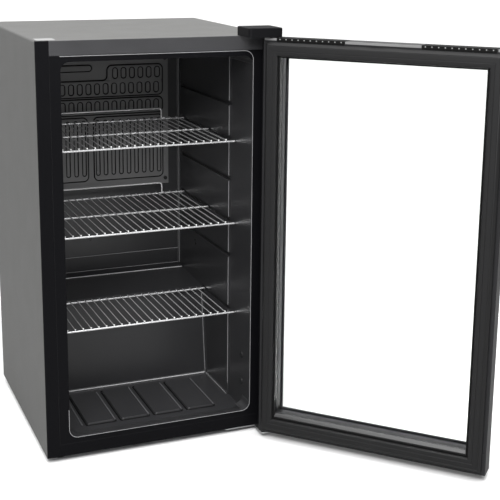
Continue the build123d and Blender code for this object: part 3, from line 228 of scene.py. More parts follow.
class Groups:
    """The shader node groups that several finishes share, each built once."""

    broad_scale: float = 14.0
    wear_gain: float = 4.0
    dust_scale: float = 60.0
    dust_colour: tuple[float, float, float, float] = (0.42, 0.40, 0.37, 1.0)

    def __init__(self) -> None:
        """Builds the three groups."""
        self.grain = self._grain()
        self.edge = self._edge()
        self.dust = self._dust()

    @staticmethod
    def _new(name: str, inputs: Iterable[tuple[str, str, Any]],
             outputs: Iterable[tuple[str, str]]) -> tuple[Any, Any, Any]:
        """Starts a shader group with named sockets.

        Args:
            name: the group's name.
            inputs: name, socket type and default value of each input.
            outputs: name and socket type of each output.

        Returns:
            The new node tree, and its input and output nodes.
        """
        tree = bpy.data.node_groups.new(name, "ShaderNodeTree")
        for label, kind, value in inputs:
            made = tree.interface.new_socket(name=label, in_out="INPUT", socket_type=kind)
            made.default_value = value
        for label, kind in outputs:
            tree.interface.new_socket(name=label, in_out="OUTPUT", socket_type=kind)
        return tree, tree.nodes.new("NodeGroupInput"), tree.nodes.new("NodeGroupOutput")

    def _grain(self) -> Any:
        """Fine grain: colour mottling, gloss variation and a height.

        Returns:
            The group.
        """
        tree, gin, gout = self._new(
            "fine_grain",
            [("Color", "NodeSocketColor", (0.5, 0.5, 0.5, 1.0)),
             ("Scale", "NodeSocketFloat", 900.0),
             ("Mottle", "NodeSocketFloat", 0.1),
             ("Roughness", "NodeSocketFloat", 0.4),
             ("Spread", "NodeSocketFloat", 0.05),
             ("Stretch", "NodeSocketVector", (1.0, 1.0, 1.0))],
            [("Color", "NodeSocketColor"), ("Roughness", "NodeSocketFloat"),
             ("Height", "NodeSocketFloat")],
        )
        n, link = tree.nodes, tree.links.new
        coord = n.new("ShaderNodeTexCoord")
        place = n.new("ShaderNodeVectorMath")
        place.operation = "MULTIPLY"
        link(coord.outputs["Object"], place.inputs[0])
        link(gin.outputs["Stretch"], place.inputs[1])
        fine = fill_inputs(tree, n.new("ShaderNodeTexNoise"), {
            "Vector": place.outputs[0], "Scale": gin.outputs["Scale"], "Detail": 3.0})
        broad = fill_inputs(tree, n.new("ShaderNodeTexNoise"), {
            "Vector": place.outputs[0], "Scale": self.broad_scale, "Detail": 5.0})
        centred = add_math(tree, "SUBTRACT", broad.outputs["Fac"], 0.5)
        swing = add_math(tree, "MULTIPLY", centred, gin.outputs["Mottle"])
        gloss = add_math(tree, "MULTIPLY", centred, gin.outputs["Spread"])
        tint = n.new("ShaderNodeVectorMath")
        tint.operation = "SCALE"
        link(gin.outputs["Color"], tint.inputs[0])
        link(add_math(tree, "MULTIPLY_ADD", swing, 2.0, 1.0), tint.inputs["Scale"])
        fill_inputs(tree, gout, {
            "Color": tint.outputs[0], "Height": fine.outputs["Fac"],
            "Roughness": add_math(tree, "MULTIPLY_ADD", gloss, 2.0, gin.outputs["Roughness"])})
        return tree

    def _edge(self) -> Any:
        """Rounded edges, and a lighter worn line where they turn.

        Returns:
            The group.
        """
        tree, gin, gout = self._new(
            "edge_wear",
            [("Color", "NodeSocketColor", (0.5, 0.5, 0.5, 1.0)),
             ("Worn Color", "NodeSocketColor", (0.6, 0.6, 0.6, 1.0)),
             ("Amount", "NodeSocketFloat", 0.1),
             ("Radius", "NodeSocketFloat", 0.001)],
            [("Color", "NodeSocketColor"), ("Mask", "NodeSocketFloat"),
             ("Normal", "NodeSocketVector")],
        )
        n, link = tree.nodes, tree.links.new
        bevel, geo = n.new("ShaderNodeBevel"), n.new("ShaderNodeNewGeometry")
        bevel.samples = 4
        link(gin.outputs["Radius"], bevel.inputs["Radius"])
        dot = n.new("ShaderNodeVectorMath")
        dot.operation = "DOT_PRODUCT"
        link(bevel.outputs["Normal"], dot.inputs[0])
        link(geo.outputs["Normal"], dot.inputs[1])
        turned = add_math(tree, "SUBTRACT", 1.0, dot.outputs["Value"])
        strong = add_math(tree, "MULTIPLY", turned, self.wear_gain)
        strong.node.use_clamp = True
        mask = add_math(tree, "MULTIPLY", strong, gin.outputs["Amount"])
        fill_inputs(tree, gout, {
            "Color": mix_colours(tree, mask, gin.outputs["Color"], gin.outputs["Worn Color"]),
            "Mask": mask, "Normal": bevel.outputs["Normal"]})
        return tree

    def _dust(self) -> Any:
        """Pale dust on faces that look up.

        Returns:
            The group.
        """
        tree, gin, gout = self._new(
            "settled_dust",
            [("Color", "NodeSocketColor", (0.5, 0.5, 0.5, 1.0)),
             ("Amount", "NodeSocketFloat", 0.1)],
            [("Color", "NodeSocketColor"), ("Mask", "NodeSocketFloat")],
        )
        n = tree.nodes
        geo, coord = n.new("ShaderNodeNewGeometry"), n.new("ShaderNodeTexCoord")
        split = fill_inputs(tree, n.new("ShaderNodeSeparateXYZ"), {"Vector": geo.outputs["Normal"]})
        noise = fill_inputs(tree, n.new("ShaderNodeTexNoise"), {
            "Vector": coord.outputs["Object"], "Scale": self.dust_scale, "Detail": 6.0})
        upward = add_math(tree, "MAXIMUM", split.outputs["Z"], 0.0)
        patchy = add_math(tree, "MULTIPLY", upward, noise.outputs["Fac"])
        mask = add_math(tree, "MULTIPLY", patchy, gin.outputs["Amount"])
        fill_inputs(tree, gout, {
            "Color": mix_colours(tree, mask, gin.outputs["Color"], self.dust_colour),
            "Mask": mask})
        return tree


class FinishShop:
    """Makes every material from its finish, and hands them out by name."""

    def __init__(self) -> None:
        """Builds the groups and all the materials."""
        self.groups = Groups()
        self.materials: dict[str, Any] = {}
        for finish in FINISHES:
            self.materials[finish.name] = self._opaque(finish)
        for glass in GLASSES:
            self.materials[glass.name] = self._glass(glass)

    def __getitem__(self, name: str) -> Any:
        """The material of that name."""
        return self.materials[name]

    def _opaque(self, f: Finish) -> Any:
        """Makes an opaque material.

        Args:
            f: the finish.

        Returns:
            The material.
        """
        mat = bpy.data.materials.new(f.name)
        mat.use_nodes = True
        mat.diffuse_color = (*f.colour, 1.0)
        tree = mat.node_tree
        n = tree.nodes
        grain = self._group(tree, self.groups.grain, {
            "Color": (*f.colour, 1.0), "Scale": f.grain_scale, "Mottle": f.mottle,
            "Roughness": f.roughness, "Spread": f.spread, "Stretch": f.stretch})
        edge = self._group(tree, self.groups.edge, {
            "Color": grain.outputs["Color"], "Worn Color": (*f.edge_colour, 1.0),
            "Amount": f.edge_wear, "Radius": f.edge_radius})
        colour = edge.outputs["Color"]
        if f.dust:
            dust = self._group(tree, self.groups.dust, {"Color": colour, "Amount": f.dust})
            colour = dust.outputs["Color"]
        bump = fill_inputs(tree, n.new("ShaderNodeBump"), {
            "Strength": 1.0, "Distance": f.grain_depth * MM,
            "Height": grain.outputs["Height"], "Normal": edge.outputs["Normal"]})
        fill_inputs(tree, n["Principled BSDF"], {
            "Metallic": f.metallic, "Coat Weight": f.coat, "Coat Roughness": f.coat_roughness,
            "Specular IOR Level": f.specular, "Base Color": colour,
            "Roughness": grain.outputs["Roughness"], "Normal": bump.outputs["Normal"]})
        return mat

    @staticmethod
    def _group(tree: Any, group: Any, values: dict[str, Any]) -> Any:
        """Adds a shared group to a material and feeds its inputs.

        Args:
            tree: the material's node tree.
            group: the shared group.
            values: a value or a socket for each named input.

        Returns:
            The group's node.
        """
        node = tree.nodes.new("ShaderNodeGroup")
        node.node_tree = group
        return fill_inputs(tree, node, values)

    def _glass(self, g: GlassFinish) -> Any:
        """Makes a transparent material, faintly smeared where it is handled.

        Args:
            g: the finish.

        Returns:
            The material.
        """
        mat = bpy.data.materials.new(g.name)
        mat.use_nodes = True
        mat.diffuse_color = (*g.colour, 1.0)
        tree = mat.node_tree
        n, link = tree.nodes, tree.links.new
        grain = self._group(tree, self.groups.grain, {
            "Color": (*g.colour, 1.0), "Scale": g.smear_scale, "Mottle": g.mottle,
            "Roughness": g.roughness, "Spread": g.smear})
        shader = fill_inputs(tree, n["Principled BSDF"], {
            "Metallic": 0.0, "Transmission Weight": 1.0, "IOR": g.ior,
            "Base Color": grain.outputs["Color"], "Roughness": grain.outputs["Roughness"]})
        if g.passes_lamps:
            path, clear = n.new("ShaderNodeLightPath"), n.new("ShaderNodeBsdfTransparent")
            both = n.new("ShaderNodeMixShader")
            link(path.outputs["Is Shadow Ray"], both.inputs[0])
            link(shader.outputs[0], both.inputs[1])
            link(clear.outputs[0], both.inputs[2])
            link(both.outputs[0], n["Material Output"].inputs["Surface"])
        return mat


# ---------------------------------------------------------------- geometry helpers
class TreeBuilder:
    """Writes one Geometry Nodes tree with named inputs, and turns its result into a mesh."""

    def __init__(self, name: str) -> None:
        """Starts the tree.

        Args:
            name: the tree's name.
        """
        self.tree = bpy.data.node_groups.new(name, "GeometryNodeTree")
        self.ids: dict[str, str] = {}
        made = self.tree.interface.new_socket(
            name="Geometry", in_out="INPUT", socket_type="NodeSocketGeometry"
        )
        self.ids["Geometry"] = made.identifier
        self.tree.interface.new_socket(
            name="Geometry", in_out="OUTPUT", socket_type="NodeSocketGeometry"
        )
        self.start = self.tree.nodes.new("NodeGroupInput")
        self.end = self.tree.nodes.new("NodeGroupOutput")

    def size(self, name: str, kind: str = "NodeSocketFloat") -> Any:
        """Adds a named input and returns its socket inside the tree."""
        made = self.tree.interface.new_socket(name=name, in_out="INPUT", socket_type=kind)
        self.ids[name] = made.identifier
        return self.start.outputs[name]

    def node(self, kind: str, **inputs: Any) -> Any:
        """Adds a node and fills its inputs.

        Args:
            kind: the node's type.
            inputs: a value or a socket for each input, with spaces written as underscores.

        Returns:
            The node.
        """
        named = {label.replace("_", " "): value for label, value in inputs.items()}
        return fill_inputs(self.tree, self.tree.nodes.new(kind), named)

    def close(self, geometry: Any) -> None:
        """Ends the tree in Realize Instances and Set Material."""
        material = self.size("Material", "NodeSocketMaterial")
        real = self.node("GeometryNodeRealizeInstances", Geometry=geometry)
        dressed = self.node("GeometryNodeSetMaterial", Geometry=real.outputs[0], Material=material)
        self.tree.links.new(dressed.outputs[0], self.end.inputs[0])

    def math(self, operation: str, *values: Any) -> Any:
        """Adds one math node, whose inputs are numbers or sockets, and returns its output."""
        return add_math(self.tree, operation, *values)

    def make(self, name: str, points: list[Point], values: dict[str, Any],
             edges: Iterable[tuple[int, int]] = ()) -> Any:
        """Evaluates the tree over some points and keeps the result as a plain mesh.

        Args:
            name: the piece's name.
            points: where the tree's geometry input has its vertices.
            values: the value of each named input.
            edges: pairs of points that are joined, where the tree follows a line.

        Returns:
            The finished object, with no modifier left on it.
        """
        seed = bpy.data.meshes.new(name + "_points")
        seed.from_pydata(points, list(edges), [])
        obj = bpy.data.objects.new(name, seed)
        bpy.context.scene.collection.objects.link(obj)
        mod = obj.modifiers.new("build", "NODES")
        mod.node_group = self.tree
        for label, value in values.items():
            mod[self.ids[label]] = value
        graph = bpy.context.evaluated_depsgraph_get()
        mesh = bpy.data.meshes.new_from_object(obj.evaluated_get(graph))
        obj.modifiers.clear()
        obj.data = mesh
        mesh.name = name
        bpy.data.meshes.remove(seed)
        return obj


def mesh_piece(name: str, build: Callable[[Any], None], material: Any) -> Any:
    """Makes a piece from a function that fills a bmesh.

    Args:
        name: the piece's name.
        build: fills the bmesh that it is given.
        material: the piece's material.

    Returns:
        The object.
    """
    bm = bmesh.new()
    build(bm)
    bmesh.ops.recalc_face_normals(bm, faces=bm.faces)
    mesh = bpy.data.meshes.new(name)
    bm.to_mesh(mesh)
    bm.free()
    mesh.materials.append(material)
    obj = bpy.data.objects.new(name, mesh)
    bpy.context.scene.collection.objects.link(obj)
    return obj


def smooth(obj: Any, angle: float = 40.0) -> None:
    """Shades a piece smooth, and keeps the edges that turn by more than an angle.

    Args:
        obj: the piece.
        angle: degrees.
    """
    obj.data.polygons.foreach_set("use_smooth", [True] * len(obj.data.polygons))
    obj.data.set_sharp_from_angle(angle=math.radians(angle))
    obj.data.update()


def join_rings(bm: Any, rings: list[list[Any]], closed: bool = True) -> None:
    """Joins each ring of vertices to the next, and the last one to the first if closed."""
    for index, ring in enumerate(rings if closed else rings[:-1]):
        after = rings[(index + 1) % len(rings)]
        for i, vert in enumerate(ring):
            j = (i + 1) % len(ring)
            bm.faces.new((vert, ring[j], after[j], after[i]))


def bead(name: str, paths: list[list[Point]], radius: float, bend: float, material: Any,
         closed: bool = True) -> Any:
    """Runs a round bead along some paths with rounded corners, all given in millimetres.

    Args:
        name: the piece's name.
        paths: the corners of each path.
        radius: the bead's radius.
        bend: the radius of each corner.
        material: the bead's material.
        closed: whether each path returns to its start.

    Returns:
        The object.
    """
    t = TreeBuilder(name + "_rule")
    rad, turn = t.size("Radius"), t.size("Bend")
    curve = t.node("GeometryNodeMeshToCurve", Mesh=t.start.outputs["Geometry"])
    soft = t.tree.nodes.new("GeometryNodeFilletCurve")
    soft.mode = "POLY"
    t.tree.links.new(curve.outputs[0], soft.inputs["Curve"])
    t.tree.links.new(turn, soft.inputs["Radius"])
    soft.inputs["Limit Radius"].default_value = True
    soft.inputs["Count"].default_value = 6
    ring = t.node("GeometryNodeCurvePrimitiveCircle", Resolution=8, Radius=rad)
    tube = t.node("GeometryNodeCurveToMesh", Curve=soft.outputs[0],
                  Profile_Curve=ring.outputs[0], Fill_Caps=True)
    t.close(tube.outputs[0])
    points: list[Point] = []
    edges: list[tuple[int, int]] = []
    for path in paths:
        first = len(points)
        points += [(x * MM, y * MM, z * MM) for x, y, z in path]
        edges += [(i, i + 1) for i in range(first, len(points) - 1)]
        if closed:
            edges.append((len(points) - 1, first))
    obj = t.make(name, points, {"Radius": radius * MM, "Bend": bend * MM, "Material": material},
                 edges)
    smooth(obj)
    return obj


def islands(node: Any, tolerance: float = 1e-5) -> list[tuple[Vector, Vector]]:
    """The box of each separate solid in a CAD node.

    Args:
        node: the CAD node's object, which is only read.
        tolerance: how near two corners are when they are one.

    Returns:
        The lowest and highest corner of each solid, sorted by place.
    """
    bm = bmesh.new()
    bm.from_mesh(node.data)
    bmesh.ops.remove_doubles(bm, verts=bm.verts, dist=tolerance)
    left, found = set(bm.verts), []
    while left:
        stack, group = [left.pop()], []
        while stack:
            vert = stack.pop()
            group.append(vert.co.copy())
            for edge in vert.link_edges:
                other = edge.other_vert(vert)
                if other in left:
                    left.remove(other)
                    stack.append(other)
        low = Vector([min(p[i] for p in group) for i in range(3)])
        high = Vector([max(p[i] for p in group) for i in range(3)])
        found.append((low, high))
    bm.free()
    return sorted(found, key=lambda b: tuple(round(v, 5) for v in b[0]))


def report(obj: Any, body: str, replaced: Iterable[str] = ()) -> None:
    """Puts a finished piece on its body and logs it.

    Args:
        obj: the piece.
        body: the CAD body that it moves with.
        replaced: the CAD nodes that it stands for.
    """
    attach(obj, body)
    if replaced:
        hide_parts(*replaced)
    LOG.info("%s rides on %s, %d faces", obj.name, body, len(obj.data.polygons))


# ---------------------------------------------------------------- pieces
@dataclass
class CarriedNodes:
    """The CAD nodes whose shape is right, each given its procedural material."""

    shop: FinishShop
    frame: dict[str, Any]
    # The top front rail takes a lighter finish, a painted sheen.
    special: tuple[tuple[str, str], ...] = (("front_rail_top", "rail_sheen"),)

    def dress(self) -> None:
        """Assigns each shown node the material of its record slot, or its own special one."""
        slots = {s["node"]: s["material_slot"] for s in self.frame["record"]["subparts"]}
        slots.update(self.special)
        for name, obj in self.frame["nodes"].items():
            obj.data.materials.clear()
            obj.data.materials.append(self.shop[slots[name]])
            LOG.info("%s carries %s", name, slots[name])


@dataclass
class WireShelf:
    """The round rods of one shelf, as drawn wire with eased ends."""

    name: str
    body: str
    shop: FinishShop
    count: int = 22
    sides: int = 12
    end_scale: float = 0.62
    end_share: float = 0.98
    end_power: float = 0.006
    nub_size: float = 1.5
    nub_lift: float = 0.9
    nub_shape: Point = (1.0, 1.25, 1.0)

    def build(self) -> None:
        """Makes the rods and their weld nubs from rules."""
        node = f"shelf_{self.name}_rods"
        low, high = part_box(node)
        radius = (high.z - low.z) / 2
        pitch = (high.x - low.x - 2 * radius) / (self.count - 1)
        t = TreeBuilder("drawn_rods")
        rad, length = t.size("Radius"), t.size("Length")
        gap, number = t.size("Pitch"), t.size("Count", "NodeSocketInt")
        sides, ease = t.size("Sides", "NodeSocketInt"), t.size("End Scale")
        rod = t.node("GeometryNodeMeshCylinder", Vertices=sides, Side_Segments=6, Radius=rad,
                     Depth=length)
        where = t.node("GeometryNodeInputPosition")
        part = t.node("ShaderNodeSeparateXYZ", Vector=where.outputs[0])
        half = t.math("MULTIPLY", length, 0.5)
        share = t.math("DIVIDE", part.outputs["Z"], half)
        size = t.math("ABSOLUTE", share)
        pushed = t.math("POWER", size, self.end_power)
        side = t.math("SIGN", share)
        along = t.math("MULTIPLY", t.math("MULTIPLY", pushed, side), half)
        at_end = t.math("GREATER_THAN", size, self.end_share)
        less = t.math("SUBTRACT", 1.0, ease)
        scale = t.math("SUBTRACT", 1.0, t.math("MULTIPLY", at_end, less))
        x = t.math("MULTIPLY", part.outputs["X"], scale)
        y = t.math("MULTIPLY", part.outputs["Y"], scale)
        joined = t.node("ShaderNodeCombineXYZ", X=x, Y=y, Z=along)
        eased = t.node("GeometryNodeSetPosition", Geometry=rod.outputs[0],
                       Position=joined.outputs[0])
        step = t.node("ShaderNodeCombineXYZ", X=gap)
        line = t.node("GeometryNodeMeshLine", Count=number, Offset=step.outputs[0])
        start = t.size("Start", "NodeSocketVector")
        t.tree.links.new(start, line.inputs["Start Location"])
        copies = t.node("GeometryNodeInstanceOnPoints", Points=line.outputs[0],
                        Instance=eased.outputs[0], Rotation=(math.pi / 2, 0.0, 0.0))
        t.close(copies.outputs[0])
        middle = (low + high) / 2
        obj = t.make(node + "_drawn", [(0.0, 0.0, 0.0)], {
            "Radius": radius, "Length": high.y - low.y, "Pitch": pitch, "Count": self.count,
            "Sides": self.sides, "End Scale": self.end_scale,
            "Start": (low.x + radius, middle.y, middle.z), "Material": self.shop["shelf_wire"],
        })
        smooth(obj)
        report(obj, self.body, [node])
        self._nubs(low, high, radius, pitch)

    def _nubs(self, low: Vector, high: Vector, radius: float, pitch: float) -> None:
        """Adds the small weld nub at the front end of each rod, in a near-white finish that paints
        its glint.

        Args:
            low: lowest corner of the rods.
            high: highest corner of the rods.
            radius: the rods' radius.
            pitch: distance between rods.
        """
        t = TreeBuilder("weld_nubs")
        size = t.size("Size")
        ball = t.node("GeometryNodeMeshIcoSphere", Radius=size, Subdivisions=2)
        copies = t.node("GeometryNodeInstanceOnPoints", Points=t.start.outputs["Geometry"],
                        Instance=ball.outputs[0], Scale=self.nub_shape)
        t.close(copies.outputs[0])
        height = (low.z + high.z) / 2 + self.nub_lift * MM
        places = [(low.x + radius + i * pitch, low.y + radius, height) for i in range(self.count)]
        obj = t.make(f"shelf_{self.name}_weld_nubs", places,
                     {"Size": self.nub_size * radius, "Material": self.shop["nub_bright"]})
        smooth(obj)
        report(obj, self.body)


@dataclass
class DoorPart:
    """A part that is built on the shut door and then swung to the door's rest angle."""

    shop: FinishShop
    angle: float
    pivot: Point

    def hang(self, obj: Any, slot: str = "door_frame", replaced: Iterable[str] = ()) -> None:
        """Swings a piece to the rest angle and puts it on the door.

        Args:
            obj: the piece, whose mesh is changed.
            slot: the record's material slot; not used.
            replaced: the CAD nodes that it stands for.
        """
        place = Matrix.Translation(Vector(self.pivot))
        obj.data.transform(place @ Matrix.Rotation(self.angle, 4, "Z") @ place.inverted())
        obj.data.update()
        report(obj, "door", replaced)


@dataclass
class DoorSeal(DoorPart):
    """The ribbed magnetic seal round the door, with mitred corners."""

    half_width: float = 232.5 * MM
    low: float = 21.5 * MM
    high: float = 831.0 * MM
    root: float = -247.0 * MM
    face: float = -235.3 * MM
    wave: float = 1.1
    wave_steps: int = 56
    wave_start: float = 0.28
    wave_span: float = 0.4
    wave_rate: float = 43.0
    wave_reach: float = 6.0
    profile: tuple[tuple[float, float], ...] = field(default=(
        (0.0, 0.0), (0.0, 0.42), (0.8, 0.58), (2.6, 0.76), (5.0, 0.95), (6.2, 0.99),
        (6.8, 0.93), (7.4, 0.99), (11.0, 1.0), (16.5, 1.0), (17.1, 0.93), (17.8, 1.0),
        (23.5, 0.98), (25.6, 0.90), (26.9, 0.70), (27.5, 0.40), (27.5, 0.0),
    ))

    def build(self) -> None:
        """Sweeps the profile round four mitred corners."""
        signs = ((-1, -1), (1, -1), (1, 1), (-1, 1))

        def fill(bm: Any) -> None:
            """Adds rings of profile points round the frame, denser along the top."""
            rings = []
            for index, here in enumerate(signs):
                after = signs[(index + 1) % 4]
                steps = self.wave_steps if index == 2 else 1
                for k in range(steps):
                    points = self._ring(here, after, k / steps, steps > 1)
                    rings.append([bm.verts.new(p) for p in points])
            join_rings(bm, rings)

        obj = mesh_piece("door_seal_ribbed", fill, self.shop["gasket_grey"])
        smooth(obj, 32.0)
        self.hang(obj, "gasket_grey", ["door_gasket"])

    def _ring(self, here: tuple[int, int], after: tuple[int, int], share: float,
              wavy: bool) -> list[Point]:
        """The profile's points at one place between two corners.

        Args:
            here: signs of the corner that the side starts from.
            after: signs of the corner that it runs to.
            share: how far along the side the place is, from 0 to 1.
            wavy: whether the side's outer edge is rippled.

        Returns:
            One point for each profile point, in metres.
        """
        lift = math.sin(math.pi * min(1.0, max(0.0, (share - self.wave_start) / self.wave_span)))
        ripple = lift * self.wave * (0.5 + 0.5 * math.sin(share * self.wave_rate))
        depth = self.face - self.root
        ring = []
        for inward, rise in self.profile:
            reach = (inward + (ripple if inward < self.wave_reach and wavy else 0.0)) * MM
            (x0, z0), (x1, z1) = (
                (sx * (self.half_width - reach), self.low + reach if sz < 0 else self.high - reach)
                for sx, sz in (here, after))
            ring.append((x0 + (x1 - x0) * share, self.root + rise * depth,
                         z0 + (z1 - z0) * share))
        return ring


@dataclass
class DoorTrim(DoorPart):
    """The lip round the glass, a black bead of painted shade in the channel beside it, and the
    vents and a pale painted highlight along the top of the door.
    """

    base: float = -249.0
    outer: tuple[float, float, float] = (202.0, 53.0, 801.9)
    inner: tuple[float, float, float] = (200.0, 61.0, 800.5)
    section: tuple[tuple[float, float], ...] = (
        (0.0, 0.0), (0.0, 7.0), (0.10, 7.9), (0.30, 8.0), (0.62, 5.6), (0.92, 3.4), (1.0, 2.6),
        (1.0, 0.0))
    vent_rows: tuple[float, float] = (142.0, -146.0)
    vent_half: float = 69.0
    vent_count: int = 11
    vent_pitch: float = 12.5
    vent_y: tuple[float, float] = (-276.0, -245.9)
    vent_z: tuple[float, float] = (831.5, 839.3)
    border_x: tuple[tuple[float, float], ...] = ((-237.0, -217.0), (-76.0, 72.0), (212.0, 237.0))
    border_y: tuple[float, float] = (-248.5, -246.6)
    border_z: tuple[float, float] = (833.6, 838.4)
    channel: tuple[float, float, float] = (203.6, 51.3, 802.9)
    channel_y: float = -242.6
    channel_radius: float = 1.9
    seam_x: tuple[float, float] = (-236.9, -232.9)
    seam_y: float = -247.0
    seam_z: tuple[float, float] = (61.0, 800.5)
    seam_radius: float = 0.7
    line_bend: float = 1.5
    rib_size: tuple[float, float, float] = (2.2, 2.4, 2.2)
    rib_inset: tuple[float, float] = (0.8, 2.8)
    bar_ease: float = 0.4

    def build(self) -> None:
        """Makes the lip, the vents with their ribs, the pale bars that paint the top cap's
        highlight, the black bead of painted shade in the channel, and the seams.
        """
        rows = [(c - self.vent_half, c + self.vent_half) for c in self.vent_rows]
        self._lip()
        self._bars("door_vent_strips", rows, self.vent_y, self.vent_z, "track_black")
        self._ribs()
        # Pale bars on the top cap: painted highlight where it catches the light from above.
        self._bars("door_top_border", self.border_x, self.border_y, self.border_z, "border_grey")
        self._channel()

    def _lip(self) -> None:
        """Sweeps the lip's section round the glass, wider along the bottom."""
        def fill(bm: Any) -> None:
            """Adds the section at each corner and joins the corners."""
            rings = []
            low_edge, high_edge = 1, 2
            for sx, edge in ((-1, low_edge), (1, low_edge), (1, high_edge), (-1, high_edge)):
                z0, z1 = self.outer[edge], self.inner[edge]
                ring = []
                for share, rise in self.section:
                    x = sx * (self.outer[0] + (self.inner[0] - self.outer[0]) * share)
                    ring.append(bm.verts.new(
                        (x * MM, (self.base + rise) * MM, (z0 + (z1 - z0) * share) * MM)))
                rings.append(ring)
            join_rings(bm, rings)

        obj = mesh_piece("door_glass_lip", fill, self.shop["lip_gloss"])
        smooth(obj, 30.0)
        self.hang(obj)

    def _ribs(self) -> None:
        """Makes the pale tips of the vents' ribs."""
        t = TreeBuilder("vent_ribs")
        wide, deep, tall = t.size("Width"), t.size("Depth"), t.size("Height")
        size = t.node("ShaderNodeCombineXYZ", X=wide, Y=deep, Z=tall)
        rib = t.node("GeometryNodeMeshCube", Size=size.outputs[0])
        copies = t.node("GeometryNodeInstanceOnPoints", Points=t.start.outputs["Geometry"],
                        Instance=rib.outputs[0])
        t.close(copies.outputs[0])
        half_row = (self.vent_count - 1) / 2
        y = (self.vent_y[1] - self.rib_inset[0]) * MM
        z = (self.vent_z[1] - self.rib_inset[1]) * MM
        places = [((c + (i - half_row) * self.vent_pitch) * MM, y, z)
                  for c in self.vent_rows for i in range(self.vent_count)]
        sizes = {label: value * MM
                 for label, value in zip(("Width", "Depth", "Height"), self.rib_size)}
        self.hang(t.make("door_vent_rib_tips", places,
                         {**sizes, "Material": self.shop["rib_tip"]}))

    def _channel(self) -> None:
        """Runs a black bead in the channel between seal and lip, painted shade where the deep
        groove falls dark, and the dark seams of the corner caps.
        """
        half, low, high = self.channel
        y = self.channel_y
        ring = [(-half, y, low), (half, y, low), (half, y, high), (-half, y, high)]
        seams = [[(x, self.seam_y, z) for x in self.seam_x] for z in self.seam_z]
        for name, paths, radius, closed in (
                ("door_black_channel", [ring], self.channel_radius, True),
                ("door_cap_seams", seams, self.seam_radius, False)):
            self.hang(bead(name, paths, radius, self.line_bend, self.shop["track_black"],
                           closed=closed))

    def _bars(self, name: str, spans: Iterable[tuple[float, float]], ys: tuple[float, float],
              zs: tuple[float, float], finish: str) -> None:
        """Makes bars with eased edges along the top of the door.

        Args:
            name: the piece's name.
            spans: each bar's ends in X, on the shut door.
            ys: the bars' reach in Y.
            zs: the bars' reach in Z.
            finish: the name of their finish.
        """
        def fill(bm: Any) -> None:
            """Adds one eased bar for each span."""
            for x0, x1 in spans:
                size = Vector((x1 - x0, ys[1] - ys[0], zs[1] - zs[0])) * MM
                middle = Vector((x0 + x1, ys[0] + ys[1], zs[0] + zs[1])) * (MM / 2)
                bmesh.ops.create_cube(bm, size=1.0, matrix=Matrix.Translation(middle)
                                      @ Matrix.Diagonal(size.to_4d()))
            bmesh.ops.bevel(bm, geom=list(bm.edges), offset=self.bar_ease * MM, segments=2,
                            affect="EDGES", profile=0.5)

        self.hang(mesh_piece(name, fill, self.shop[finish]))


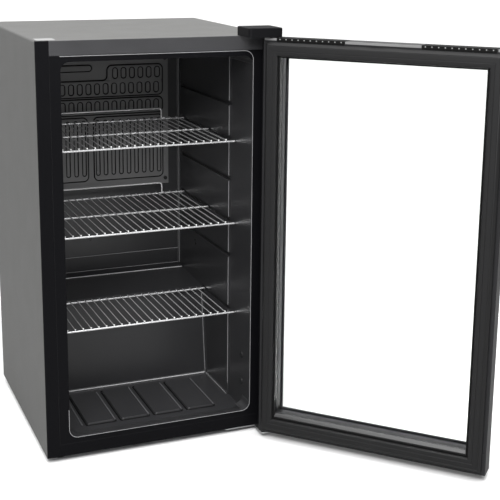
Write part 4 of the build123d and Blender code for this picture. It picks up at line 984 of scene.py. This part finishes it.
@dataclass
class PressedEvaporator:
    """The cooling plate: a pressed sheet with raised channels, and dark lines round them that paint
    the shade on the pressed slopes.
    """

    shop: FinishShop
    step: float = 1.6
    back: float = 198.5
    flat: float = 197.1
    rise: float = 1.35
    ease: float = 2.2
    capsule: tuple[float, float] = (12.0, 25.0)
    pitch: float = 20.1
    fields: tuple[tuple[float, float, float, float, float], ...] = (
        (20.0, 146.0, 698.0, 739.0, 12.0), (-146.0, 146.0, 668.0, 705.0, 12.0),
        (-146.0, 146.0, 627.0, 663.0, 12.0), (-146.0, -34.0, 473.0, 621.0, 10.0),
        (-20.0, 146.0, 473.0, 621.0, 10.0), (-146.0, -22.0, 727.0, 741.0, 6.0))
    rows: tuple[tuple[float, float, int], ...] = (
        (83.0, 721.0, 6), (0.0, 686.0, 14), (0.0, 645.0, 14))
    bars: tuple[tuple[float, float, int], ...] = ((-146.0, -34.0, 6), (-20.0, 146.0, 9))
    bar_z: tuple[float, float] = (485.0, 614.0)
    bar_width: float = 9.0
    sink: float = 0.9
    dimple: tuple[float, float] = (3.0, 0.8)
    line_inset: float = 0.2
    capsule_line: tuple[float, float] = (1.45, 5.76)
    channel_line: tuple[float, float] = (1.65, 11.0)
    upper_outline: tuple[tuple[float, float], ...] = (
        (-146.0, 668.0), (146.0, 668.0), (146.0, 739.0), (14.0, 739.0), (14.0, 705.0),
        (-146.0, 705.0))

    def build(self) -> None:
        """Makes the pressed sheet, and a dark line of painted shade round each raised or sunk
        shape.
        """
        self._sheet()
        wide, tall = self.capsule
        low, high = self.bar_z
        half = self.bar_width / 2
        ovals = [self._loop(cx - wide / 2, cx + wide / 2, cz - tall / 2, cz + tall / 2)
                 for cx, cz in self._oval_places()]
        bars = [self._loop(cx - half, cx + half, low, high) for cx in self._bar_places()]
        fields = [self._loop(*f[:4]) for f in self.fields[2:]]
        upper = [(x, self.flat - self.line_inset, z) for x, z in self.upper_outline]
        for name, loops, (radius, bend) in (
                ("evaporator_capsule_lines", ovals + bars, self.capsule_line),
                ("evaporator_channel_lines", [upper] + fields, self.channel_line)):
            report(bead(name, loops, radius, bend, self.shop["track_black"]), "cabinet")

    def _bar_places(self) -> list[float]:
        """The middle of each long bar."""
        return [left + (right - left) / count * (i + 0.5)
                for left, right, count in self.bars for i in range(count)]

    def _oval_places(self) -> list[tuple[float, float]]:
        """The middle of each short capsule."""
        return [(c + (i - (n - 1) / 2) * self.pitch, z) for c, z, n in self.rows
                for i in range(n)]

    def _height(self, x: Any, z: Any) -> Any:
        """How far the sheet stands forward of its flat face.

        Args:
            x: array of X places in millimetres.
            z: array of Z places in millimetres.

        Returns:
            The height in millimetres.
        """
        def ramp(distance: Any) -> Any:
            """Eases from 0 outside a shape to 1 inside it."""
            t = np.clip(0.5 - distance / self.ease, 0.0, 1.0)
            return t * t * (3 - 2 * t)

        raised = np.zeros_like(x)
        for x0, x1, z0, z1, r in self.fields:
            qx = np.abs(x - (x0 + x1) / 2) - ((x1 - x0) / 2 - r)
            qz = np.abs(z - (z0 + z1) / 2) - ((z1 - z0) / 2 - r)
            outside = np.hypot(np.maximum(qx, 0), np.maximum(qz, 0))
            raised = np.maximum(raised, ramp(outside + np.minimum(np.maximum(qx, qz), 0) - r))
        sunk = np.zeros_like(x)
        wide, tall = self.capsule
        shapes = [(cx, cz - (tall - wide) / 2, cz + (tall - wide) / 2, wide / 2)
                  for cx, cz in self._oval_places()]
        low, high = self.bar_z
        half = self.bar_width / 2
        shapes += [(cx, low + half, high - half, half) for cx in self._bar_places()]
        for cx, z0, z1, r in shapes:
            away = np.hypot(x - cx, z - np.clip(z, z0, z1)) - r
            sunk = np.maximum(sunk, ramp(away))
        dimple = np.zeros_like(x)
        size, share = self.dimple
        for cx in self._bar_places():
            dimple = np.maximum(dimple, ramp(np.hypot(x - cx, z - (low + half)) - size))
        return self.rise * np.clip(raised - self.sink * sunk + share * dimple, 0.0, 1.0)

    def _sheet(self) -> None:
        """Makes the pressed sheet as one closed mesh."""
        low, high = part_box("evaporator_plate")
        xs = np.arange(low.x / MM, high.x / MM + 0.01, self.step)
        zs = np.linspace(low.z / MM, high.z / MM, int((high.z - low.z) / MM / self.step) + 1)
        gx, gz = np.meshgrid(xs, zs)
        front = self.flat - self._height(gx, gz)
        nx, nz = len(xs), len(zs)

        def fill(bm: Any) -> None:
            """Adds the front grid, a flat back and the rim between them."""
            grid = [[bm.verts.new((xs[i] * MM, front[j, i] * MM, zs[j] * MM))
                     for i in range(nx)] for j in range(nz)]
            for j in range(nz - 1):
                for i in range(nx - 1):
                    bm.faces.new((grid[j][i], grid[j][i + 1], grid[j + 1][i + 1],
                                  grid[j + 1][i]))
            rim = ([grid[0][i] for i in range(nx)] + [grid[j][-1] for j in range(1, nz)]
                   + [grid[-1][i] for i in range(nx - 2, -1, -1)]
                   + [grid[j][0] for j in range(nz - 2, 0, -1)])
            behind = [bm.verts.new((v.co.x, self.back * MM, v.co.z)) for v in rim]
            for i, vert in enumerate(rim):
                j = (i + 1) % len(rim)
                bm.faces.new((vert, behind[i], behind[j], rim[j]))
            bm.faces.new(behind)

        obj = mesh_piece("evaporator_pressed_sheet", fill, self.shop["evaporator_grey"])
        smooth(obj)
        report(obj, "cabinet", ["evaporator_plate"])

    def _loop(self, x0: float, x1: float, z0: float, z1: float) -> list[Point]:
        """The four corners of an upright rectangle on the plate's face."""
        y = self.flat - self.line_inset
        return [(x0, y, z0), (x1, y, z0), (x1, y, z1), (x0, y, z1)]


@dataclass
class LinerCorners:
    """The moulded radii inside the storage space, and the pale beads along them that paint the
    highlights on those radii.

    Millimetres. A field that ends in _bead holds a bead's radius and the bend of its corners.
    """

    shop: FinishShop
    side: float = 190.0
    mouth: float = 193.0
    back: float = 203.0
    floor: float = 37.0
    ceiling: float = 800.0
    step_y: float = -117.0
    hump_foot: float = 20.0
    hump_edge: tuple[float, float] = (47.0, 240.0)
    front: float = -234.2
    lip: float = 50.0
    seam: float = 810.5
    levels: tuple[float, ...] = (238.0, 358.0, 436.0, 526.0, 613.0, 687.0)
    groove: tuple[float, float] = (4.0, 8.5)
    rails: tuple[tuple[float, float], ...] = ((202.8, 255.5), (202.8, 291.0))
    ridge_highlights: tuple[tuple[float, float], ...] = ((18.8, 38.5), (178.0, 250.2))
    frame_in: tuple[float, float, float] = (193.1, 50.1, 800.0)
    frame_out: tuple[float, float, float] = (213.9, 35.6, 811.9)
    frame_face: float = -234.75
    pad_y: tuple[float, float] = (-164.0, -5.0)
    pad_half: float = 30.5
    pad_pitch: float = 73.5
    pad_count: int = 4
    pad_gap: float = 1.4
    flank_end: float = 4.0
    last_flank: float = 9.0
    foot_radius: float = 5.0
    wall_radius: float = 7.0
    mouth_radius: float = 17.0
    lip_depth: float = 38.0
    corner_from: float = 252.0
    mouth_highlight_bead: tuple[float, float] = (0.55, 18.0)
    mouth_offset: tuple[float, float] = (1.2, 0.4)
    mouth_gap: float = 60.0
    frame_corner: float = 0.5
    frame_parts: int = 6
    pad_shade_bead: tuple[float, float] = (1.4, 4.0)
    pad_lift: float = 0.6
    flank_highlight_bead: tuple[float, float] = (1.5, 4.0)
    flank_place: tuple[float, float] = (0.2, 2.6)
    fine_highlight_bead: tuple[float, float] = (0.5, 0.5)
    ridge_highlight_bead: tuple[float, float] = (1.1, 0.5)
    step_ends: tuple[float, float] = (14.0, 6.0)
    corner_line: tuple[float, float] = (2.2, 254.0)
    hump_line: tuple[float, ...] = (2.4, 18.2, 40.0, 42.6, 226.0)
    foot_line: tuple[float, ...] = (1.8, 6.0, 1.7, 16.0)
    rail_end: float = 5.0
    ridge_end: float = 4.0

    def build(self) -> None:
        """Makes the radii, the mouth's painted highlight bead and dark frame, the pale beads of
        painted highlight along the moulding, and the pads' lines of painted shade and highlight.
        """
        self._radii()
        self._mouth()
        self._mouth_frame()
        self._lines()
        self._pads()

    def _radii(self) -> None:
        """Makes every concave corner strip as one piece."""
        run = Vector((0.0, self.hump_edge[0] - self.hump_foot, self.hump_edge[1] - self.floor))
        up_hump = run.normalized()
        off_hump = Vector((0.0, -up_hump.z, up_hump.y))
        s, top = self.side, self.ceiling
        foot, wall, wide = self.foot_radius, self.wall_radius, self.mouth_radius
        strips = [
            ((-s, self.hump_foot, self.floor), (s, self.hump_foot, self.floor),
             (0, -1, 0), up_hump, foot),
            ((-s, self.back, top), (s, self.back, top), (0, -1, 0), (0, 0, -1), wall)]
        for side in (-1, 1):
            x = side * s
            strips += [
                ((x, self.step_y, self.floor), (x, self.hump_foot, self.floor),
                 (-side, 0, 0), (0, 0, 1), foot),
                ((x, self.back, self.corner_from), (x, self.back, top), (-side, 0, 0), (0, -1, 0),
                 wall),
                ((x, self.hump_foot, self.floor), (x, *self.hump_edge),
                 (-side, 0, 0), off_hump, foot),
                ((x, self.step_y, top), (x, self.back, top), (-side, 0, 0), (0, 0, -1), wall),
                ((side * self.mouth, self.front, self.lip),
                 (side * self.mouth, self.front + self.lip_depth, self.lip), (-side, 0, 0),
                 (0, 0, 1), wide),
                ((side * self.mouth, self.front, top),
                 (side * self.mouth, self.step_y, top), (-side, 0, 0), (0, 0, -1), wide)]

        def fill(bm: Any) -> None:
            """Adds one concave strip for each corner line."""
            for *line, radius in strips:
                self._strip(bm, *map(Vector, line), radius)

        obj = mesh_piece("liner_corner_radii", fill, self.shop["liner_black"])
        smooth(obj, 50.0)
        report(obj, "cabinet")

    @staticmethod
    def _strip(bm: Any, start: Vector, end: Vector, a: Vector, b: Vector, radius: float,
               parts: int = 6, overlap: float = 0.3) -> None:
        """Adds a closed strip that fills a corner with a concave radius.

        Args:
            bm: the mesh that it goes in.
            start: one end of the corner line, in millimetres.
            end: the other end.
            a: direction along one wall.
            b: direction along the other wall.
            radius: the radius.
            parts: how many faces the curve has.
            overlap: how far the strip reaches into the walls.
        """
        back = -(a + b) * overlap
        rings = []
        for base in (start, end):
            ring = [base + back]
            for k in range(parts + 1):
                turn = math.pi / 2 * k / parts
                ring.append(base + a * radius * (1 - math.sin(turn))
                            + b * radius * (1 - math.cos(turn)))
            rings.append([bm.verts.new(p * MM) for p in ring])
        join_rings(bm, rings, closed=False)
        bm.faces.new(rings[0])
        bm.faces.new(rings[1][::-1])

    def _mouth(self) -> None:
        """Runs a thin pale bead round the mouth, a painted highlight on the lip's radius, open
        along most of its left side.
        """
        out, forward = self.mouth_offset
        x, y, low, high = self.mouth + out, self.front - forward, self.lip - out, self.seam
        path = [(-x, y, low + self.mouth_gap), (-x, y, low), (x, y, low), (x, y, high),
                (-x, y, high)]
        self._beads([("liner_mouth_bead", [path], *self.mouth_highlight_bead, "bead_gloss", False)])

    def _mouth_frame(self) -> None:
        """Makes the flat dark frame between the mouth and the front strips."""
        def fill(bm: Any) -> None:
            """Adds an inner and an outer ring at two depths, and joins all four."""
            rings = []
            for (half, low, high), radius, y in (
                    (self.frame_in, self.mouth_radius, self.front),
                    (self.frame_out, self.frame_corner, self.front),
                    (self.frame_out, self.frame_corner, self.frame_face),
                    (self.frame_in, self.mouth_radius, self.frame_face)):
                ring = []
                for index, (sx, sz) in enumerate(((1, -1), (1, 1), (-1, 1), (-1, -1))):
                    cx = sx * (half - radius)
                    cz = (high - radius) if sz > 0 else (low + radius)
                    for k in range(self.frame_parts + 1):
                        turn = math.pi / 2 * (index - 1 + k / self.frame_parts)
                        ring.append(bm.verts.new(((cx + radius * math.cos(turn)) * MM, y * MM,
                                                  (cz + radius * math.sin(turn)) * MM)))
                rings.append(ring)
            join_rings(bm, rings)

        report(mesh_piece("liner_mouth_frame", fill, self.shop["strip_black"]), "cabinet")

    def _pads(self) -> None:
        """Runs a dark line round every floor pad, painted shade in the gap round it, and a pale one
        along its right flank, a painted highlight on the lit slope.
        """
        dark, pale = [], []
        (y0, y1), gap, end = self.pad_y, self.pad_gap, self.flank_end
        for index in range(self.pad_count):
            cx = (index - (self.pad_count - 1) / 2) * self.pad_pitch
            x0, x1 = cx - self.pad_half - gap, cx + self.pad_half + gap
            z = self.floor + self.pad_lift
            dark.append([(x0, y0 - gap, z), (x1, y0 - gap, z), (x1, y1 + gap, z),
                         (x0, y1 + gap, z)])
            x, z = cx + self.pad_half + self.flank_place[0], self.floor + self.flank_place[1]
            pale.append([(x, y0 + end, z), (x, y1 - end, z)])
        x = -(self.pad_count - 1) / 2 * self.pad_pitch - self.pad_half - self.last_flank
        pale.append([(x, y0 + end, self.floor), (x, y1 - end, self.floor)])
        self._beads((("floor_pad_dark_lines", dark, *self.pad_shade_bead, "track_black", True),
                     ("floor_pad_pale_flanks", pale, *self.flank_highlight_bead, "flank_grey", False)))

    def _lines(self) -> None:
        """Runs thin pale beads that paint the highlights on the moulding's radii: its steps,
        corners, hump and gutter.
        """
        top = self.ceiling - self.step_ends[1]
        lows = [self.lip + self.step_ends[0]] + [level + self.groove[1] for level in self.levels]
        highs = [level - self.groove[0] for level in self.levels] + [top]
        steps = [(0.0, self.step_y, z0, self.step_y, z1) for z0, z1 in zip(lows, highs)]
        inset, low = self.corner_line
        corner = (inset, self.back - inset, low, self.back - inset, top)
        inset, ahead, lift, rear = self.foot_line
        foot = (inset, self.step_y + ahead, self.floor + lift, rear, self.floor + lift)
        lines = (*steps, corner, self.hump_line, foot)
        fine = [[(side * (self.side - inset), y0, z0), (side * (self.side - inset), y1, z1)]
                for side in (-1, 1) for inset, y0, z0, y1, z1 in lines]
        x = self.side - self.rail_end
        fine += [[(-x, y, z), (x, y, z)] for y, z in self.rails]
        # Bolder pale beads along the hump's foot and the gutter's lip: painted highlights.
        x = self.side - self.ridge_end
        bold = [[(-x, y, z), (x, y, z)] for y, z in self.ridge_highlights]
        self._beads((("liner_fine_lines", fine, *self.fine_highlight_bead, "bead_gloss", False),
                     ("liner_ridges", bold, *self.ridge_highlight_bead, "ridge_bright", False)))

    def _beads(self, rows: Iterable[tuple[str, list[list[Point]], float, float, str, bool]]
               ) -> None:
        """Makes one bead piece from each row of name, paths, radius, bend, finish and closed."""
        for name, paths, radius, bend, finish, closed in rows:
            report(bead(name, paths, radius, bend, self.shop[finish], closed=closed), "cabinet")


@dataclass
class ScrewHeads:
    """Pan-head screws with a cross recess, cut from a rule."""

    node: str
    shop: FinishShop
    height: float = 2.2
    shank_share: float = 0.5
    head_taper: float = 0.72
    recess: tuple[float, float] = (1.15, 0.24)

    def build(self, axis: Axis, keep: Callable[[Vector, Vector], bool], name: str) -> Any:
        """Makes the screws of one direction.

        Args:
            axis: the way that the heads face.
            keep: says which of the node's solids face that way.
            name: the piece's name.

        Returns:
            The object, not yet on a body.
        """
        found = [b for b in islands(bpy.data.objects[self.node]) if keep(*b)]
        t = TreeBuilder(name + "_rule")
        rad, tall, long = t.size("Radius"), t.size("Height"), t.size("Length")
        head = t.node("GeometryNodeMeshCone", Vertices=20, Radius_Bottom=rad, Depth=tall,
                      Radius_Top=t.math("MULTIPLY", rad, self.head_taper))
        slots = []
        for turn in (0.0, math.pi / 2):
            size = t.node("ShaderNodeCombineXYZ", X=t.math("MULTIPLY", rad, self.recess[0]),
                          Y=t.math("MULTIPLY", rad, self.recess[1]), Z=tall)
            cutter = t.node("GeometryNodeMeshCube", Size=size.outputs[0])
            lifted = t.node("ShaderNodeCombineXYZ", Z=tall)
            slots.append(t.node("GeometryNodeTransform", Geometry=cutter.outputs[0],
                                Translation=lifted.outputs[0], Rotation=(0.0, 0.0, turn)))
        cut = t.tree.nodes.new("GeometryNodeMeshBoolean")
        cut.operation = "DIFFERENCE"
        t.tree.links.new(head.outputs[0], cut.inputs[0])
        for slot in slots:
            t.tree.links.new(slot.outputs[0], cut.inputs[1])
        shank = t.node("GeometryNodeMeshCylinder", Vertices=14,
                       Radius=t.math("MULTIPLY", rad, self.shank_share), Depth=long)
        sunk = t.node("ShaderNodeCombineXYZ", Z=t.math("MULTIPLY", long, -0.5))
        below = t.node("GeometryNodeTransform", Geometry=shank.outputs[0],
                       Translation=sunk.outputs[0])
        both = t.tree.nodes.new("GeometryNodeJoinGeometry")
        t.tree.links.new(cut.outputs[0], both.inputs[0])
        t.tree.links.new(below.outputs[0], both.inputs[0])
        copies = t.node("GeometryNodeInstanceOnPoints", Points=t.start.outputs["Geometry"],
                        Instance=both.outputs[0], Rotation=axis.value)
        t.close(copies.outputs[0])
        facing = 1 if axis is Axis.REAR else 2
        outward = -1 if axis is Axis.DOWN else 1
        places = []
        for low, high in found:
            middle = (low + high) / 2
            edge = high if outward > 0 else low
            middle[facing] = edge[facing] - outward * self.height * MM
            places.append(tuple(middle))
        radius = (found[0][1].x - found[0][0].x) / 2
        length = found[0][1][facing] - found[0][0][facing] - self.height * MM
        return t.make(name, places, {
            "Radius": radius, "Height": self.height * MM, "Length": length,
            "Material": self.shop["zinc"]})

# ---------------------------------------------------------------- studio
@dataclass(frozen=True)
class Softbox:
    """One square area light, and what it faces."""

    name: str
    place: Point
    target: Point
    size: float
    power: float


@dataclass
class Studio:
    """Camera, pale floor and soft light."""

    lens: float = 80.81
    yaw: float = 22.49
    pitch: float = 12.94
    roll: float = 0.59
    place: Point = (-0.667, -2.283, 1.038)
    shift: tuple[float, float] = (0.0082, -0.12)
    ambient: float = 0.13
    backdrop: float = 0.95
    overhead: float = 3.1
    overhead_aim: Point = (0.12, 0.30, -1.0)
    overhead_spread: float = 60.0
    boxes: tuple[Softbox, ...] = (
        Softbox("key", (-1.5, -2.4, 2.3), (0.0, -0.1, 0.35), 1.3, 40.0),
        Softbox("fill", (-0.25, -1.5, 1.5), (0.0, -0.05, 0.1), 0.6, 12.0))
    floor_shade: float = 0.42
    floor_seen: float = 0.94
    floor_reach: float = 30.0

    def camera(self) -> None:
        """Places the camera."""
        data = bpy.data.cameras.new("camera")
        data.sensor_width = 36.0
        data.lens = self.lens
        data.shift_x, data.shift_y = self.shift
        yaw, pitch, roll = map(math.radians, (self.yaw, self.pitch, self.roll))
        right = Vector((math.cos(yaw), -math.sin(yaw), 0.0))
        look = Vector((math.sin(yaw) * math.cos(pitch), math.cos(yaw) * math.cos(pitch),
                       -math.sin(pitch)))
        up = right.cross(look)
        across = right * math.cos(roll) + up * math.sin(roll)
        above = across.cross(look)
        turn = Matrix((across, above, -look)).transposed().to_4x4()
        obj = bpy.data.objects.new("camera", data)
        obj.matrix_world = Matrix.Translation(Vector(self.place)) @ turn
        bpy.context.scene.collection.objects.link(obj)
        bpy.context.scene.camera = obj

    def floor(self) -> None:
        """Lays the plain pale floor."""
        mat = bpy.data.materials.new("floor_pale")
        mat.use_nodes = True
        tree = mat.node_tree
        dim, pale = ((tone, tone, tone, 1.0) for tone in (self.floor_shade, self.floor_seen))
        fill_inputs(tree, tree.nodes["Principled BSDF"], {
            "Roughness": 0.9, "Base Color": mix_colours(tree, self._seen(tree), dim, pale)})

        def fill(bm: Any) -> None:
            """Adds one large face."""
            bmesh.ops.create_grid(bm, x_segments=1, y_segments=1, size=self.floor_reach)

        obj = mesh_piece("floor", fill, mat)

    def lights(self) -> None:
        """Hangs the soft lights and sets the pale surroundings."""
        world = bpy.data.worlds.new("surroundings")
        bpy.context.scene.world = world
        world.use_nodes = True
        tree = world.node_tree
        n = tree.nodes
        coord = n.new("ShaderNodeTexCoord")
        split = fill_inputs(tree, n.new("ShaderNodeSeparateXYZ"),
                            {"Vector": coord.outputs["Generated"]})
        rear = fill_inputs(tree, n.new("ShaderNodeMapRange"), {
            "Value": split.outputs["Y"], "From Min": 0.0, "From Max": 0.7,
            "To Min": self.ambient, "To Max": self.backdrop})
        level = fill_inputs(tree, n.new("ShaderNodeMapRange"), {
            "Value": self._seen(tree), "To Min": rear.outputs[0], "To Max": 1.0})
        fill_inputs(tree, n["Background"], {
            "Strength": level.outputs[0], "Color": (1.0, 1.0, 1.0, 1.0)})
        sun = bpy.data.lights.new("overhead", "SUN")
        sun.energy, sun.angle = self.overhead, math.radians(self.overhead_spread)
        self._hang(sun, (0.0, 0.0, 0.0), self.overhead_aim)
        for box in self.boxes:
            data = bpy.data.lights.new(box.name, "AREA")
            data.size, data.energy = box.size, box.power
            self._hang(data, box.place, Vector(box.target) - Vector(box.place))

    @staticmethod
    def _seen(tree: Any) -> Any:
        """Says whether a surface is looked at, straight or through glass, or lit by a bounce.

        Args:
            tree: the node tree that the nodes go in.

        Returns:
            A socket that is 1 for those rays and 0 for light that bounces.
        """
        path = tree.nodes.new("ShaderNodeLightPath")
        return add_math(tree, "MAXIMUM", path.outputs["Is Camera Ray"],
                        path.outputs["Is Transmission Ray"])

    @staticmethod
    def _hang(data: Any, place: Point, aim: Any) -> None:
        """Adds a light at a place, shining along a direction."""
        obj = bpy.data.objects.new(data.name, data)
        obj.location = place
        obj.rotation_euler = Vector(aim).to_track_quat("-Z", "Y").to_euler()
        bpy.context.scene.collection.objects.link(obj)

    def colour(self) -> None:
        """Uses plain colour management, so that finishes show as they are set."""
        bpy.context.scene.view_settings.view_transform = "Standard"


def main() -> None:
    """Builds every sub-assembly in order."""
    logging.basicConfig(level=logging.INFO, format="%(name)s: %(message)s")
    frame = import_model()
    hinge = next(j for j in frame["joints"] if j["name"] == "door_hinge")
    angle = -math.radians(min(hinge["range_deg"]))
    pivot = tuple(hinge["pos_m"])
    shop = FinishShop()
    CarriedNodes(shop, frame).dress()
    for name in ("top", "middle", "lower"):
        WireShelf(name, f"shelf_{name}", shop).build()
    DoorSeal(shop, angle, pivot).build()
    DoorTrim(shop, angle, pivot).build()
    PressedEvaporator(shop).build()
    LinerCorners(shop).build()
    rear = ScrewHeads("cover_screws", shop)
    report(rear.build(Axis.REAR, lambda low, high: True, "cover_screw_heads"), "cabinet",
           ["cover_screws"])
    hinge_set = ScrewHeads("hinge_screws", shop)
    report(hinge_set.build(Axis.UP, lambda low, high: low.z > 0.5, "hinge_screws_upper"),
           "cabinet", ["hinge_screws"])
    report(hinge_set.build(Axis.DOWN, lambda low, high: low.z < 0.5, "hinge_screws_lower"),
           "cabinet")
    studio = Studio()
    studio.camera()
    studio.floor()
    studio.lights()
    studio.colour()


if __name__ == "__main__":
    main()
